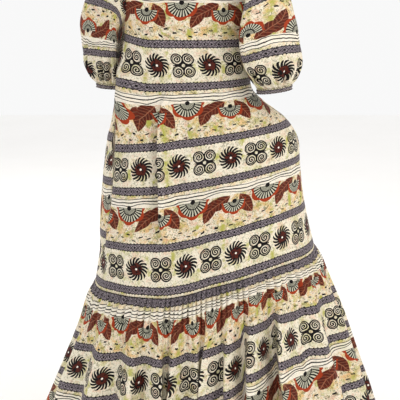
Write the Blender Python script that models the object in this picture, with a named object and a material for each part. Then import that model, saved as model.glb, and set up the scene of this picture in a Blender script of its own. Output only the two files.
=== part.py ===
# Wax print maxi dress, hollow, in the pose it keeps when worn: a loose A-line body with
# in-seam pockets, gathered sleeves that end above the elbow, and one deep gathered flounce.
# Metres, +Z up. The origin is where the shoulders carry it: midway between the two neck
# points of the shoulder seams. +Y is the wearer's front, +X the wearer's right.

import math
from collections import namedtuple

import bmesh
import bpy
from mathutils import Vector

CLOTH = 0.0015            # wall thickness
SEAM_GAP = 0.0010         # left between two pieces where they are sewn together
SQUARENESS = 2.3          # exponent of the body's rounded sections; 2 is an ellipse

# Body sections from the flounce seam up to the underarm. tilt is how much the section
# rises per metre towards the right hip, which is pushed up and out.
Section = namedtuple("Section", "level shift half_width back front tilt")
BODY_SECTIONS = (
    Section(-0.897, 0.041, 0.316, 0.250, 0.240, 0.165),
    Section(-0.800, 0.037, 0.297, 0.224, 0.210, 0.170),
    Section(-0.715, 0.031, 0.288, 0.206, 0.188, 0.162),
    Section(-0.640, 0.030, 0.282, 0.192, 0.170, 0.152),
    Section(-0.570, 0.031, 0.274, 0.176, 0.158, 0.140),
    Section(-0.510, 0.019, 0.253, 0.156, 0.148, 0.126),
    Section(-0.450, -0.004, 0.213, 0.132, 0.138, 0.090),
    Section(-0.400, -0.017, 0.190, 0.118, 0.134, 0.050),
    Section(-0.330, -0.010, 0.181, 0.116, 0.146, 0.020),
    Section(-0.270, -0.005, 0.177, 0.119, 0.152, 0.0),
    Section(-0.210, 0.0, 0.180, 0.120, 0.136, 0.0),
)
FLOUNCE_SEAM = BODY_SECTIONS[0].level
UNDERARM = BODY_SECTIONS[-1].level

# Where the sections sag below their slope, or are held above it: the place across, how
# wide it is and how far it drops at the flounce seam. Higher sections drop less.
Sag = namedtuple("Sag", "facing x width drop")
SAGS = (
    Sag(-1, -0.055, 0.105, 0.018),
    Sag(-1, 0.245, 0.075, -0.010),
    Sag(1, 0.030, 0.130, 0.014),
)
SAG_START = -0.420

# Chest above the underarm, between the armholes.
ChestSection = namedtuple("ChestSection", "level half_width back front")
CHEST_SECTIONS = (
    ChestSection(-0.210, 0.180, 0.120, 0.136),
    ChestSection(-0.150, 0.193, 0.114, 0.118),
    ChestSection(-0.100, 0.202, 0.104, 0.101),
    ChestSection(-0.050, 0.208, 0.092, 0.086),
    ChestSection(0.040, 0.215, 0.078, 0.072),
)
NECK_HALF_WIDTH = 0.078
SHOULDER_X = 0.175        # end of the shoulder seam
SHOULDER_SLOPE = 0.42
SHOULDER_ROLL = 0.085     # height over which back and front curve over to the shoulder seam
ROW_CROWDING = 1.7        # how much closer the chest rows stand towards the shoulder
NECK_CROWDING = 1.15      # and towards the neckline
NECK_FAN = 0.46           # how strongly the chest columns draw in towards the neck
SHOULDER_BLADE_SHIFT = 0.016  # the right arm is drawn back, so the chest moves to the left
NECK_ROUNDNESS = 2.3
BACK_NECK_DROP = 0.016
FRONT_NECK_DROP = 0.090

# Armhole edge: how far it stands from the middle, by its share of the way up.
ArmholeEdge = namedtuple("ArmholeEdge", "rise x")
ARMHOLE_EDGE = (
    ArmholeEdge(0.0, 0.180),
    ArmholeEdge(0.08, 0.170),
    ArmholeEdge(0.22, 0.159),
    ArmholeEdge(0.45, 0.155),
    ArmholeEdge(0.75, 0.162),
    ArmholeEdge(1.0, SHOULDER_X),
)

# The side seams, as angles round the body from the centre back, in degrees. The left one
# shows from behind because the hips are turned.
SeamPlace = namedtuple("SeamPlace", "level left right")
SIDE_SEAMS = (
    SeamPlace(-0.897, -88.0, 90.0),
    SeamPlace(-0.820, -75.0, 90.0),
    SeamPlace(-0.740, -68.0, 90.0),
    SeamPlace(-0.650, -66.0, 90.0),
    SeamPlace(-0.500, -72.0, 90.0),
    SeamPlace(-0.400, -80.0, 90.0),
    SeamPlace(-0.210, -90.0, 90.0),
)

# Pocket mouths: slits left open in the side seams, held apart as by a hand.
Pocket = namedtuple("Pocket", "name side level half_length half_gap reach")
POCKETS = (
    Pocket("pocket_right", 1, -0.490, 0.078, 0.0150, 0.125),
    Pocket("pocket_left", -1, -0.500, 0.078, 0.0105, 0.115),
)

# The one sharp fold of the back: a tuck of loose cloth that leans over to the left. The
# panel's columns follow it, by its place across at two levels.
TUCK_ACROSS = 0.30        # which share of the panel's width lies on it
TUCK_TOP = -0.350
TUCK_BOTTOM = -0.790
TUCK_TOP_X = -0.051
TUCK_BOTTOM_X = -0.056
TUCK_DEPTH = 0.013
TUCK_LEAN = 0.012
TUCK_WIDTH = 0.025        # as a share of the panel's width

# Soft folds of the body: their place across, the levels they run between, how wide they
# are and how far they stand out.
Fold = namedtuple("Fold", "x top bottom width depth")
BACK_FOLDS = (
    Fold(-0.165, -0.520, -0.960, 0.030, 0.007),
    Fold(0.010, -0.640, -0.980, 0.034, 0.005),
    Fold(0.105, -0.560, -0.960, 0.036, 0.006),
    Fold(0.225, -0.500, -0.940, 0.034, 0.007),
)
FRONT_FOLDS = (
    Fold(-0.150, -0.460, -0.950, 0.034, 0.008),
    Fold(-0.050, -0.250, -0.900, 0.036, 0.009),
    Fold(0.075, -0.250, -0.930, 0.038, 0.009),
    Fold(0.200, -0.520, -0.960, 0.034, 0.008),
)

# Flounce: a straight strip gathered to the seam. Each row is a trough between two folds,
# by its angle from the centre back, its depth at the hem and the lean of the crest after it.
FLOUNCE_DEPTH = 0.560
FLARE = 0.340             # how far the flounce goes out for each metre of its length
FLARE_TO_LEFT = 0.038     # it swings out this much more on the left, and less on the right
HOLLOW_TO_LEFT = 0.022    # and hangs in by this much halfway down on the left
GATHERS_PER_FOLD = 4      # two columns each
GATHER_DEPTH = 0.0042
Trough = namedtuple("Trough", "angle depth lean")
FLOUNCE_TROUGHS = (
    Trough(-97.0, 0.013, 0.006),
    Trough(-80.0, 0.018, 0.010),
    Trough(-64.0, 0.016, -0.010),
    Trough(-46.0, 0.026, -0.024),
    Trough(-33.0, 0.016, -0.020),
    Trough(-21.0, 0.022, 0.010),
    Trough(-11.0, 0.015, -0.008),
    Trough(-1.0, 0.018, 0.020),
    Trough(9.0, 0.014, 0.012),
    Trough(19.0, 0.022, 0.020),
    Trough(33.0, 0.026, 0.018),
    Trough(50.0, 0.017, 0.010),
    Trough(67.0, 0.016, -0.008),
    Trough(83.0, 0.014, 0.006),
    Trough(99.0, 0.018, 0.010),
    Trough(117.0, 0.022, -0.018),
    Trough(133.0, 0.017, 0.008),
    Trough(148.0, 0.019, 0.016),
    Trough(162.0, 0.015, -0.008),
    Trough(175.0, 0.020, 0.017),
    Trough(189.0, 0.016, -0.009),
    Trough(204.0, 0.021, -0.018),
    Trough(221.0, 0.017, 0.008),
    Trough(241.0, 0.020, 0.012),
)
FLOUNCE_ROWS = (0.0, 0.014, 0.040, 0.085, 0.150, 0.250, 0.360, 0.465, FLOUNCE_DEPTH)

# Sleeves: tubes from the armhole to a narrow elastic cuff.
# puff is how far it swells sideways and to the back or front, overhang how far it bulges
# over the back of the armhole, and twist how far it turns on its way down, in degrees.
Sleeve = namedtuple("Sleeve", "name cuff side cuff_centre cuff_lean puff overhang twist")
RIGHT_CUFF = (0.232, -0.084, -0.377)
LEFT_CUFF = (-0.220, 0.070, -0.386)
SLEEVES = (
    Sleeve("sleeve_right", "cuff_right", 1, RIGHT_CUFF, 0.14, (0.044, -0.040), 0.135, -32.0),
    Sleeve("sleeve_left", "cuff_left", -1, LEFT_CUFF, 0.05, (0.118, 0.005), 0.020, 26.0),
)
CUFF_RADIUS = 0.046
CUFF_HEIGHT = 0.014
SLEEVE_GATHERS = 16
SLEEVE_GATHER_DEPTH = 0.0045
SLEEVE_CLEARANCE = 0.006  # between a sleeve and the side of the body it hangs beside
SLEEVE_ROWS = (0.0, 0.06, 0.16, 0.30, 0.45, 0.60, 0.75, 0.88, 0.95, 1.0)

NECKBAND_WIDTH = 0.012
PANEL_COLUMNS = 24
CHEST_ROWS = 8
# Levels of the panels' rows below the underarm, closer together at the pocket mouths.
BODY_ROWS = (
    FLOUNCE_SEAM, -0.840, -0.780, -0.720, -0.660, -0.610, -0.575, -0.545, -0.515,
    -0.485, -0.455, -0.425, -0.400, -0.360, -0.310, -0.255,
)


def eased(t):
    t = min(max(t, 0.0), 1.0)
    return t * t * (3.0 - 2.0 * t)


def read_table(rows, key, column, at):
    # A smooth curve through one named column of a table, read at a value of its key.
    keys = [getattr(row, key) for row in rows]
    values = [getattr(row, column) for row in rows]
    at = min(max(at, keys[0]), keys[-1])
    i = max(j for j in range(len(keys) - 1) if keys[j] <= at)

    def slope(j):
        low, high = max(j - 1, 0), min(j + 1, len(keys) - 1)
        return (values[high] - values[low]) / (keys[high] - keys[low])

    span = keys[i + 1] - keys[i]
    t = (at - keys[i]) / span
    return (
        values[i] * (2 * t**3 - 3 * t**2 + 1)
        + slope(i) * span * (t**3 - 2 * t**2 + t)
        + values[i + 1] * (3 * t**2 - 2 * t**3)
        + slope(i + 1) * span * (t**3 - t**2)
    )


def body_section(level):
    values = [read_table(BODY_SECTIONS, "level", c, level) for c in Section._fields[1:]]
    return Section(level, *values)


def sag_at(x, y, level):
    grown = eased((SAG_START - level) / (SAG_START - FLOUNCE_SEAM))
    here = [sag for sag in SAGS if sag.facing * y > 0.0]
    return sum(sag.drop * grown * math.exp(-(((x - sag.x) / sag.width) ** 2)) for sag in here)


def body_point(angle, level):
    # A point of the plain body, angle in degrees from the centre back towards the right.
    s = body_section(level)
    turn = math.radians(angle)
    depth = s.back if math.cos(turn) > 0 else s.front
    reach = (
        abs(math.sin(turn) / s.half_width) ** SQUARENESS
        + abs(math.cos(turn) / depth) ** SQUARENESS
    ) ** (-1.0 / SQUARENESS)
    x = s.shift + reach * math.sin(turn)
    return settled(Vector((x, -reach * math.cos(turn), level)), level)


def body_normal(angle, level):
    along = body_point(angle + 0.5, level) - body_point(angle - 0.5, level)
    return Vector((along.y, -along.x, 0.0)).normalized()


def settled(point, level):
    # Gives a point of a section the height that it has on the section's slope.
    s = body_section(level)
    point.z = level + s.tilt * (point.x - s.shift) - sag_at(point.x, point.y, level)
    return point


def pocket_gap(side, level):
    # Half of the width that a pocket mouth stands open at this level.
    pocket = next(p for p in POCKETS if p.side == side)
    t = (level - pocket.level) / pocket.half_length
    return pocket.half_gap * (1.0 - t * t) if abs(t) < 1.0 else 0.0


def seam_angle(side, level, facing):
    # Angle of a panel's side edge. facing is -1 for the back panel and 1 for the front.
    column = "right" if side > 0 else "left"
    angle = read_table(SIDE_SEAMS, "level", column, level)
    opening = pocket_gap(side, level) + SEAM_GAP / 2
    along = body_point(angle + 0.5, level) - body_point(angle - 0.5, level)
    return angle + side * facing * opening / along.length


def fading_between(level, top, bottom):
    return eased((top - level) / 0.10) * eased((level - bottom) / 0.10)


def fold_height(folds, point, level):
    # How far out the soft folds move this place.
    out = 0.0
    for fold in folds:
        t = (point.x - fold.x) / fold.width
        out += fold.depth * fading_between(level, fold.top, fold.bottom) * math.exp(-t * t)
    return out


def tuck_angle(level):
    share = (level - TUCK_TOP) / (TUCK_BOTTOM - TUCK_TOP)
    x = TUCK_TOP_X + (TUCK_BOTTOM_X - TUCK_TOP_X) * share
    s = body_section(level)
    ratio = abs(x - s.shift) / s.half_width
    depth = s.back * (1.0 - ratio**SQUARENESS) ** (1.0 / SQUARENESS)
    return math.degrees(math.atan2(x - s.shift, depth))


def angle_across(facing, across, level):
    # Angle round the body of a column. On the back the columns are drawn to the tuck.
    left = seam_angle(-1, level, facing)
    right = seam_angle(1, level, facing)
    if facing > 0:
        right -= 360.0
    even = left + (right - left) * across
    if facing > 0:
        return even
    tuck = tuck_angle(level)
    if across < TUCK_ACROSS:
        drawn = left + (tuck - left) * across / TUCK_ACROSS
    else:
        drawn = tuck + (right - tuck) * (across - TUCK_ACROSS) / (1.0 - TUCK_ACROSS)
    return even + (drawn - even) * eased((UNDERARM - level) / (UNDERARM - TUCK_TOP))


def lower_panel_row(facing, folds, columns, level):
    row = []
    for across in columns:
        angle = angle_across(facing, across, level)
        normal = body_normal(angle, level)
        tangent = Vector((normal.y, -normal.x, 0.0)) * facing
        point = body_point(angle, level)
        point += normal * fold_height(folds, point, level)
        if facing < 0:
            share = (across - TUCK_ACROSS) / TUCK_WIDTH
            crest = fading_between(level, TUCK_TOP, TUCK_BOTTOM) * math.exp(-share * share)
            point += (normal * TUCK_DEPTH - tangent * TUCK_LEAN) * crest
        row.append(settled(point, level))
    return row


def shoulder_line(x):
    return -SHOULDER_SLOPE * (abs(x) - NECK_HALF_WIDTH)


def chest_fullness(facing, x, z):
    # Depth of the chest here before the roll at the shoulder, and how far into the roll.
    column = "front" if facing > 0 else "back"
    half_width = read_table(CHEST_SECTIONS, "level", "half_width", z)
    depth = read_table(CHEST_SECTIONS, "level", column, z)
    ratio = min(abs(x) / half_width, 1.0)
    rounded = (1.0 - ratio**SQUARENESS) ** (1.0 / SQUARENESS)
    rolled = (z - shoulder_line(x) + SHOULDER_ROLL) / SHOULDER_ROLL
    return depth * rounded, min(max(rolled, 0.0), 1.0)


def on_chest(facing, x, z):
    depth, rolled = chest_fullness(facing, x, z)
    y = depth * math.sqrt(1.0 - rolled**2) + SEAM_GAP / 2
    return Vector((x, facing * y, z))


def chest_outward(facing, point):
    # Outward direction of the chest surface, from how its fullness changes around a point.
    def fullness(place):
        depth, rolled = chest_fullness(facing, place.x, place.z)
        rolled = (place.z - shoulder_line(place.x) + SHOULDER_ROLL) / SHOULDER_ROLL
        return (place.y / max(depth, 0.01)) ** 2 + max(rolled, 0.0) ** 2

    step = 0.002
    steps = [Vector(step if i == j else 0.0 for j in range(3)) for i in range(3)]
    changes = [fullness(point + s) - fullness(point - s) for s in steps]
    return Vector(changes).normalized()


def neck_or_shoulder(facing, x):
    # Height of the panel's top edge.
    if abs(x) >= NECK_HALF_WIDTH:
        return shoulder_line(x)
    drop = FRONT_NECK_DROP if facing > 0 else BACK_NECK_DROP
    return -drop * (1.0 - abs(x / NECK_HALF_WIDTH) ** NECK_ROUNDNESS)


def chest_point(facing, sideways, rise):
    # sideways runs from -1 to 1 between the armholes, rise from the underarm to the top.
    # Columns draw in towards the neck as they rise.
    drawn_in = NECK_FAN * sideways * (1.0 - abs(sideways))
    x = (sideways - drawn_in * rise**2) * read_table(ARMHOLE_EDGE, "rise", "x", rise)
    at_top = (sideways - drawn_in) * SHOULDER_X
    top = neck_or_shoulder(facing, at_top)
    outside_neck = min(abs(at_top) / NECK_HALF_WIDTH, 1.0) ** 3
    crowding = NECK_CROWDING + (ROW_CROWDING - NECK_CROWDING) * outside_neck
    point = on_chest(facing, x, top - (top - UNDERARM) * (1.0 - rise) ** crowding)
    shifted = math.sin(math.pi * min(rise / 0.75, 1.0)) ** 2 * sideways**2
    point.x -= SHOULDER_BLADE_SHIFT * shifted
    return point


def sideways_of(facing, across):
    # Where a column of the lower panel stands at the underarm, as a share of its width.
    angle = 180.0 * across - 90.0 if facing < 0 else -90.0 - 180.0 * across
    return body_point(angle, UNDERARM).x / body_section(UNDERARM).half_width


def panel_columns(facing):
    # Even columns, closer at the tuck, and one at each neck point.
    columns = [i / PANEL_COLUMNS for i in range(PANEL_COLUMNS + 1)]
    if facing < 0:
        columns = [c for c in columns if abs(c - TUCK_ACROSS) > 0.055]
        columns += [TUCK_ACROSS + k * 0.014 for k in (-3, -2, -1, 0, 1, 2, 3)]
    neck = NECK_HALF_WIDTH / SHOULDER_X
    neck_column = (NECK_FAN - 1.0 + math.sqrt((1.0 - NECK_FAN) ** 2 + 4.0 * NECK_FAN * neck))
    neck_column /= 2.0 * NECK_FAN
    for place in (-neck_column, neck_column):
        fine = min(range(1001), key=lambda k: abs(sideways_of(facing, k / 1000) - place))
        columns = [c for c in columns if abs(c - fine / 1000) > 0.016]
        columns.append(fine / 1000)
    return sorted(columns)


def body_panel_rows(facing, folds):
    columns = panel_columns(facing)
    rows = [lower_panel_row(facing, folds, columns, level) for level in BODY_ROWS]
    for i in range(CHEST_ROWS + 1):
        sideways = [sideways_of(facing, across) for across in columns]
        rows.append([chest_point(facing, place, i / CHEST_ROWS) for place in sideways])
    return rows


def flounce_point(angle, length, out, along):
    section = body_section(FLOUNCE_SEAM)
    normal = body_normal(angle, FLOUNCE_SEAM)
    tangent = Vector((-normal.y, normal.x, 0.0))
    flare = FLARE - FLARE_TO_LEFT * normal.x
    # It springs out at the gathers, then falls in a straight flare.
    swell = 0.010 * eased(length / 0.05)
    hollow = HOLLOW_TO_LEFT * max(-normal.x, 0.0) * math.sin(math.pi * length / FLOUNCE_DEPTH)
    seam = body_point(angle, FLOUNCE_SEAM)
    point = seam + normal * (flare * length + swell - hollow + out) + tangent * along
    drop = length * math.sqrt(1.0 - flare**2)
    sag = sag_at(seam.x, seam.y, FLOUNCE_SEAM)
    point.z = FLOUNCE_SEAM + section.tilt * (point.x - section.shift) - sag
    point.z -= 1.4 * SEAM_GAP + drop
    return point


def flounce_row(first, last, length):
    # One row of the strip, from a quarter of the way after one trough to the same place
    # after another: gathered above, in folds below.
    row = []
    count = len(FLOUNCE_TROUGHS)
    per_fold = 2 * GATHERS_PER_FOLD
    steps = (last - first) * per_fold
    for step in range(steps + 1):
        place = first + 0.25 + step / per_fold
        turns, i = divmod(math.floor(place), count)
        next_turns, j = divmod(math.floor(place) + 1, count)
        share = place - math.floor(place)
        start = FLOUNCE_TROUGHS[i].angle + 360.0 * turns
        end = FLOUNCE_TROUGHS[j].angle + 360.0 * next_turns
        angle = start + (end - start) * share
        depths = FLOUNCE_TROUGHS[i].depth, FLOUNCE_TROUGHS[j].depth
        depth = depths[0] + (depths[1] - depths[0]) * eased(share)
        swing = math.cos(2.0 * math.pi * share)
        grown = eased(length / 0.26) * (0.75 + 0.45 * length / FLOUNCE_DEPTH)
        fold_along = -FLOUNCE_TROUGHS[i].lean * (0.5 - 0.5 * swing) * grown
        gather = math.cos(2.0 * math.pi * GATHERS_PER_FOLD * share)
        fading = 1.0 - eased((length - 0.02) / 0.11)
        starting = 0.25 + 0.75 * eased(length / 0.014)
        at_side_seam = min(1.0, step / 2.0, (steps - step) / 2.0)
        out = -depth * swing * grown - GATHER_DEPTH * gather * fading * starting * at_side_seam
        row.append(flounce_point(angle, length, out, fold_along))
    return row


def flounce_rows(first, last):
    rows = [flounce_row(first, last, length) for length in FLOUNCE_ROWS]
    # The two side edges are drawn back by half of the gap at a seam.
    for row in rows:
        for end, inner in ((0, 1), (-1, -2)):
            row[end] = row[end] + (row[inner] - row[end]).normalized() * (SEAM_GAP / 2)
    return rows


def armhole_point(side, place):
    # The armhole edge: place runs from the underarm up the back to 1 at the shoulder, then
    # down the front to 2. It follows the panels' own rows, so it also has their corners.
    facing = -1 if place <= 1.0 else 1
    rise = place if place <= 1.0 else 2.0 - place
    low = min(math.floor(rise * CHEST_ROWS), CHEST_ROWS - 1)
    share = rise * CHEST_ROWS - low
    ends = []
    for row in (low, low + 1):
        edge = chest_point(facing, side, row / CHEST_ROWS)
        inner = chest_point(facing, side * 0.97, row / CHEST_ROWS)
        across = (edge - inner).normalized()
        away = across * eased(row / 2) + Vector((0.0, 0.0, 1.0 - eased(row / 2)))
        ends.append(edge + away.normalized() * (CLOTH / 2 + 1.4 * SEAM_GAP))
    return ends[0].lerp(ends[1], share)


def clear_of_body(point, clearance):
    # Moves a point that would lie in the body out to just beside it.
    if point.z > UNDERARM - 0.004:
        return point
    s = body_section(max(point.z, FLOUNCE_SEAM))
    depth = (s.back if point.y < 0 else s.front) + clearance
    width = s.half_width + clearance
    x = point.x - s.shift
    inside = abs(x / width) ** SQUARENESS + abs(point.y / depth) ** SQUARENESS
    if inside >= 1.0:
        return point
    grow = inside ** (-1.0 / SQUARENESS)
    return Vector((s.shift + x * grow, point.y * grow, point.z))


def cuff_ring(sleeve, drop):
    # Starts at the side of the arm by the body and goes round by the back.
    centre = Vector(sleeve.cuff_centre)
    count = 2 * SLEEVE_GATHERS
    ring = []
    for i in range(count):
        turn = 2.0 * math.pi * i / count + math.radians(sleeve.twist)
        x = -sleeve.side * math.cos(turn) * CUFF_RADIUS
        y = -math.sin(turn) * CUFF_RADIUS
        z = sleeve.side * sleeve.cuff_lean * x - drop
        ring.append(clear_of_body(centre + Vector((x, y, z)), SLEEVE_CLEARANCE))
    return ring


def sleeve_rows(sleeve):
    foot = cuff_ring(sleeve, -SEAM_GAP / 2)
    count = len(foot)
    rows = []
    for t in SLEEVE_ROWS:
        row = []
        for i in range(count):
            turn = 2.0 * math.pi * i / count
            outer = 0.5 - 0.5 * math.cos(turn)
            start = armhole_point(sleeve.side, 2.0 * i / count)
            end = foot[i]
            twisted = turn + math.radians(sleeve.twist) * t
            radial = Vector((-sleeve.side * math.cos(twisted), -math.sin(twisted), 0.0))
            lift = Vector((sleeve.side * (0.026 + 0.034 * outer), 0.0, 0.028 * outer - 0.014))
            puff = Vector((sleeve.side * sleeve.puff[0] * outer, sleeve.puff[1], 0.0))
            near_head = start + lift + radial * (0.012 * outer) + puff * 0.25
            near_foot = end + Vector((0.0, -0.40 * sleeve.cuff_centre[1], 0.115)) + puff * 0.35
            near_foot += radial * (0.054 * outer)
            behind = max(math.sin(turn), 0.0) ** 2 * sleeve.overhang
            near_head += Vector((0.0, -behind, 0.0))
            near_foot += Vector((-sleeve.side * behind, -0.3 * behind, 0.0))
            u = 1.0 - t
            point = (
                start * u**3 + near_head * (3 * u * u * t)
                + near_foot * (3 * u * t * t) + end * t**3
            )
            ripple = -1.0 if i % 2 else 1.0
            at_cuff = eased((t - 0.70) / 0.2) * (1.0 - 0.75 * eased((t - 0.95) / 0.05))
            at_head = (1.0 - eased((t - 0.06) / 0.2)) * eased(t / 0.06) * outer
            point += radial * (SLEEVE_GATHER_DEPTH * (at_cuff + 0.7 * at_head) * ripple)
            row.append(clear_of_body(point, SLEEVE_CLEARANCE * eased(t * 6.0) + 0.002))
        rows.append(row)
    return rows


def cuff_rows(sleeve):
    drops = (SEAM_GAP / 2, CUFF_HEIGHT / 2, CUFF_HEIGHT)
    return [cuff_ring(sleeve, drop) for drop in drops]


def neckband_rows():
    # A loop round the neckline, on the outside of both panels: points of their surfaces
    # at even distances from the neck edge, moved out.
    per_side = 24
    out = CLOTH + 0.0017
    rows = [[], [], []]
    for facing in (-1, 1):
        for i in range(per_side):
            edge_x = NECK_HALF_WIDTH * math.cos(math.pi * i / per_side) * facing
            edge_z = neck_or_shoulder(facing, edge_x * 0.9999)
            steepness = abs(edge_x / NECK_HALF_WIDTH) ** (NECK_ROUNDNESS - 1.0)
            steepness *= NECK_ROUNDNESS / NECK_HALF_WIDTH
            steepness *= FRONT_NECK_DROP if facing > 0 else BACK_NECK_DROP
            away = Vector((math.copysign(steepness, edge_x), 0.0, -1.0)).normalized()
            if i == 0:
                away = Vector((math.copysign(1.0, edge_x), 0.0, -SHOULDER_SLOPE))
            for number, share in enumerate((0.0, 0.5, 1.0)):
                x = edge_x + away.x * NECKBAND_WIDTH * share
                z = min(edge_z + away.z * NECKBAND_WIDTH * share, shoulder_line(x))
                point = on_chest(facing, x, z)
                if i == 0:
                    rows[number].append(Vector((x, 0.0, z + out)))
                else:
                    rows[number].append(point + chest_outward(facing, point) * out)
    return rows


def pocket_rows(pocket):
    # A flat bag behind the front panel. It starts as the open mouth in the seam, turns
    # forward round a quarter circle, runs on, and ends closed.
    count = 16
    bend = 0.018
    column = "right" if pocket.side > 0 else "left"
    inset = CLOTH / 2 + SEAM_GAP
    rows = []
    for turned, onward, half_gap, half_height, fall in (
        (0, 0.0, pocket.half_gap, 0.078, 0.0),
        (30, 0.0, pocket.half_gap * 0.80, 0.074, 0.005),
        (60, 0.0, 0.0095, 0.072, 0.012),
        (90, 0.0, 0.0085, 0.072, 0.020),
        (90, 0.35, 0.0080, 0.074, 0.032),
        (90, 0.70, 0.0075, 0.072, 0.044),
        (90, 1.0, 0.0045, 0.058, 0.052),
    ):
        turn = math.radians(turned)
        row = []
        for i in range(count):
            place = 2.0 * math.pi * i / count
            level = pocket.level - fall + half_height * math.cos(place)
            bulge = math.sin(place)
            if turned == 0:
                bulge = math.copysign(bulge**2, bulge)
            forward = bend * (1.0 - math.cos(turn)) + onward * pocket.reach
            forward += half_gap * bulge * math.cos(turn)
            inward = inset + bend * math.sin(turn) - half_gap * bulge * math.sin(turn)
            seam = read_table(SIDE_SEAMS, "level", column, level)
            along = body_point(seam + 0.5, level) - body_point(seam - 0.5, level)
            angle = seam + pocket.side * forward / along.length
            point = body_point(angle, level) - body_normal(angle, level) * inward
            row.append(settled(point, level))
        rows.append(row)
    return rows


def sheet_object(name, rows, material, closed=False, end_filled=False):
    # A cloth wall: a surface through the rows, then thickened evenly to both sides.
    bm = bmesh.new()
    made = [[bm.verts.new(point) for point in row] for row in rows]
    for upper, lower in zip(made, made[1:]):
        count = len(upper)
        for i in range(count if closed else count - 1):
            j = (i + 1) % count
            bm.faces.new((upper[i], lower[i], lower[j], upper[j]))
    if end_filled:
        end = made[-1]
        half = len(end) // 2
        bm.faces.new((end[0], end[-1], end[1]))
        for i in range(1, half - 1):
            bm.faces.new((end[i], end[-i], end[-i - 1], end[i + 1]))
        bm.faces.new((end[half - 1], end[half + 1], end[half]))
    bmesh.ops.recalc_face_normals(bm, faces=bm.faces)
    mesh = bpy.data.meshes.new(name)
    bm.to_mesh(mesh)
    bm.free()
    mesh.materials.append(material)
    mesh.shade_smooth()
    obj = bpy.data.objects.new(name, mesh)
    bpy.context.scene.collection.objects.link(obj)
    wall = obj.modifiers.new("Cloth wall", "SOLIDIFY")
    wall.thickness = CLOTH
    wall.offset = 0.0
    return obj


def cloth_material(name, colour, roughness):
    material = bpy.data.materials.new(name)
    material.use_nodes = True
    shader = material.node_tree.nodes["Principled BSDF"]
    shader.inputs["Base Color"].default_value = (*colour, 1.0)
    shader.inputs["Roughness"].default_value = roughness
    shader.inputs["Metallic"].default_value = 0.0
    return material


def build_bodice(print_cotton, grey_cotton):
    sheet_object("back_panel", body_panel_rows(-1, BACK_FOLDS), print_cotton)
    sheet_object("front_panel", body_panel_rows(1, FRONT_FOLDS), print_cotton)
    sheet_object("neckband", neckband_rows(), grey_cotton, closed=True)


def build_flounce(print_cotton):
    right_seam = max(i for i, t in enumerate(FLOUNCE_TROUGHS) if t.angle < 90.0)
    sheet_object("flounce_back", flounce_rows(0, right_seam), print_cotton)
    last = len(FLOUNCE_TROUGHS)
    sheet_object("flounce_front", flounce_rows(right_seam, last), print_cotton)


def build_sleeves(print_cotton, grey_cotton):
    for sleeve in SLEEVES:
        sheet_object(sleeve.name, sleeve_rows(sleeve), print_cotton, closed=True)
        sheet_object(sleeve.cuff, cuff_rows(sleeve), grey_cotton, closed=True)


def build_pockets(plain_cotton):
    for pocket in POCKETS:
        rows = pocket_rows(pocket)
        sheet_object(pocket.name, rows, plain_cotton, closed=True, end_filled=True)


for leftover in list(bpy.data.objects):
    bpy.data.objects.remove(leftover, do_unlink=True)
printed = cloth_material("print_cotton", (0.78, 0.70, 0.56), 0.72)
grey = cloth_material("grey_cotton", (0.26, 0.23, 0.25), 0.75)
build_bodice(printed, grey)
build_flounce(printed)
build_sleeves(printed, grey)
build_pockets(cloth_material("pocket_cotton", (0.72, 0.66, 0.54), 0.80))
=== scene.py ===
import math

import bpy
import numpy as np
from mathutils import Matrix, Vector


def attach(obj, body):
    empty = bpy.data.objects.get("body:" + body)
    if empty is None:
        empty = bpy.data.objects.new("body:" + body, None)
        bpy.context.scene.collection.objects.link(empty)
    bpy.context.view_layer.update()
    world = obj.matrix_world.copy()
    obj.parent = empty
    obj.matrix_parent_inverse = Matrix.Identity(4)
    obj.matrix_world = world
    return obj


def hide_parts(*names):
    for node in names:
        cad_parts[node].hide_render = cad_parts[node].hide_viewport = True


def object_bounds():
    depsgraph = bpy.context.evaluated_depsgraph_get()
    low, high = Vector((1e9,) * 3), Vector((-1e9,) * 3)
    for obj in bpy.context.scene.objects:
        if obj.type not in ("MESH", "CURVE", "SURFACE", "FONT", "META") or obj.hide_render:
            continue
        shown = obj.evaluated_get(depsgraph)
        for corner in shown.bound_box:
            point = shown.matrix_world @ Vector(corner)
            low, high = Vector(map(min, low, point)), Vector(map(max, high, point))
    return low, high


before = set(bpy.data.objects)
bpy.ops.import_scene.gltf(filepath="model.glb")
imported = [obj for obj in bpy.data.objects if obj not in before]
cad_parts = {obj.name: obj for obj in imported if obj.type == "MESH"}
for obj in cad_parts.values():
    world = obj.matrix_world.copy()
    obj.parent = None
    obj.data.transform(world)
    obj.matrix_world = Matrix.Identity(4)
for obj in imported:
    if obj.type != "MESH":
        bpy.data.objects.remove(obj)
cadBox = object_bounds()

# Wax print maxi dress, as worn: +Z up, +Y its front, +X its own right side.
# Every sheet is laid out flat as a grid, with the cut's own metres as its UVs, and its
# vertices are then moved to the hollow shape, so the print runs as it does on real cloth.

cloth = {
    "thickness": 0.0007,      # a bit more than the cotton's 0.3 mm, for a clean edge
    "squareness": 2.3,        # exponent of the rounded sections
}


def eased(t):
    t = np.clip(t, 0.0, 1.0)
    return t * t * (3.0 - 2.0 * t)


def readTable(keys, values, at):
    # smooth curve through one column of a table
    keys, values = np.asarray(keys, float), np.asarray(values, float)
    at = np.clip(np.asarray(at, float), keys[0], keys[-1])
    i = np.clip(np.searchsorted(keys, at, side="right") - 1, 0, len(keys) - 2)
    order = np.arange(len(keys))
    low, high = np.maximum(order - 1, 0), np.minimum(order + 1, len(keys) - 1)
    slope = (values[high] - values[low]) / (keys[high] - keys[low])
    span = keys[i + 1] - keys[i]
    t = (at - keys[i]) / span
    return (
        values[i] * (2 * t**3 - 3 * t**2 + 1) + slope[i] * span * (t**3 - 2 * t**2 + t)
        + values[i + 1] * (3 * t**2 - 2 * t**3) + slope[i + 1] * span * (t**3 - t**2)
    )


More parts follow.
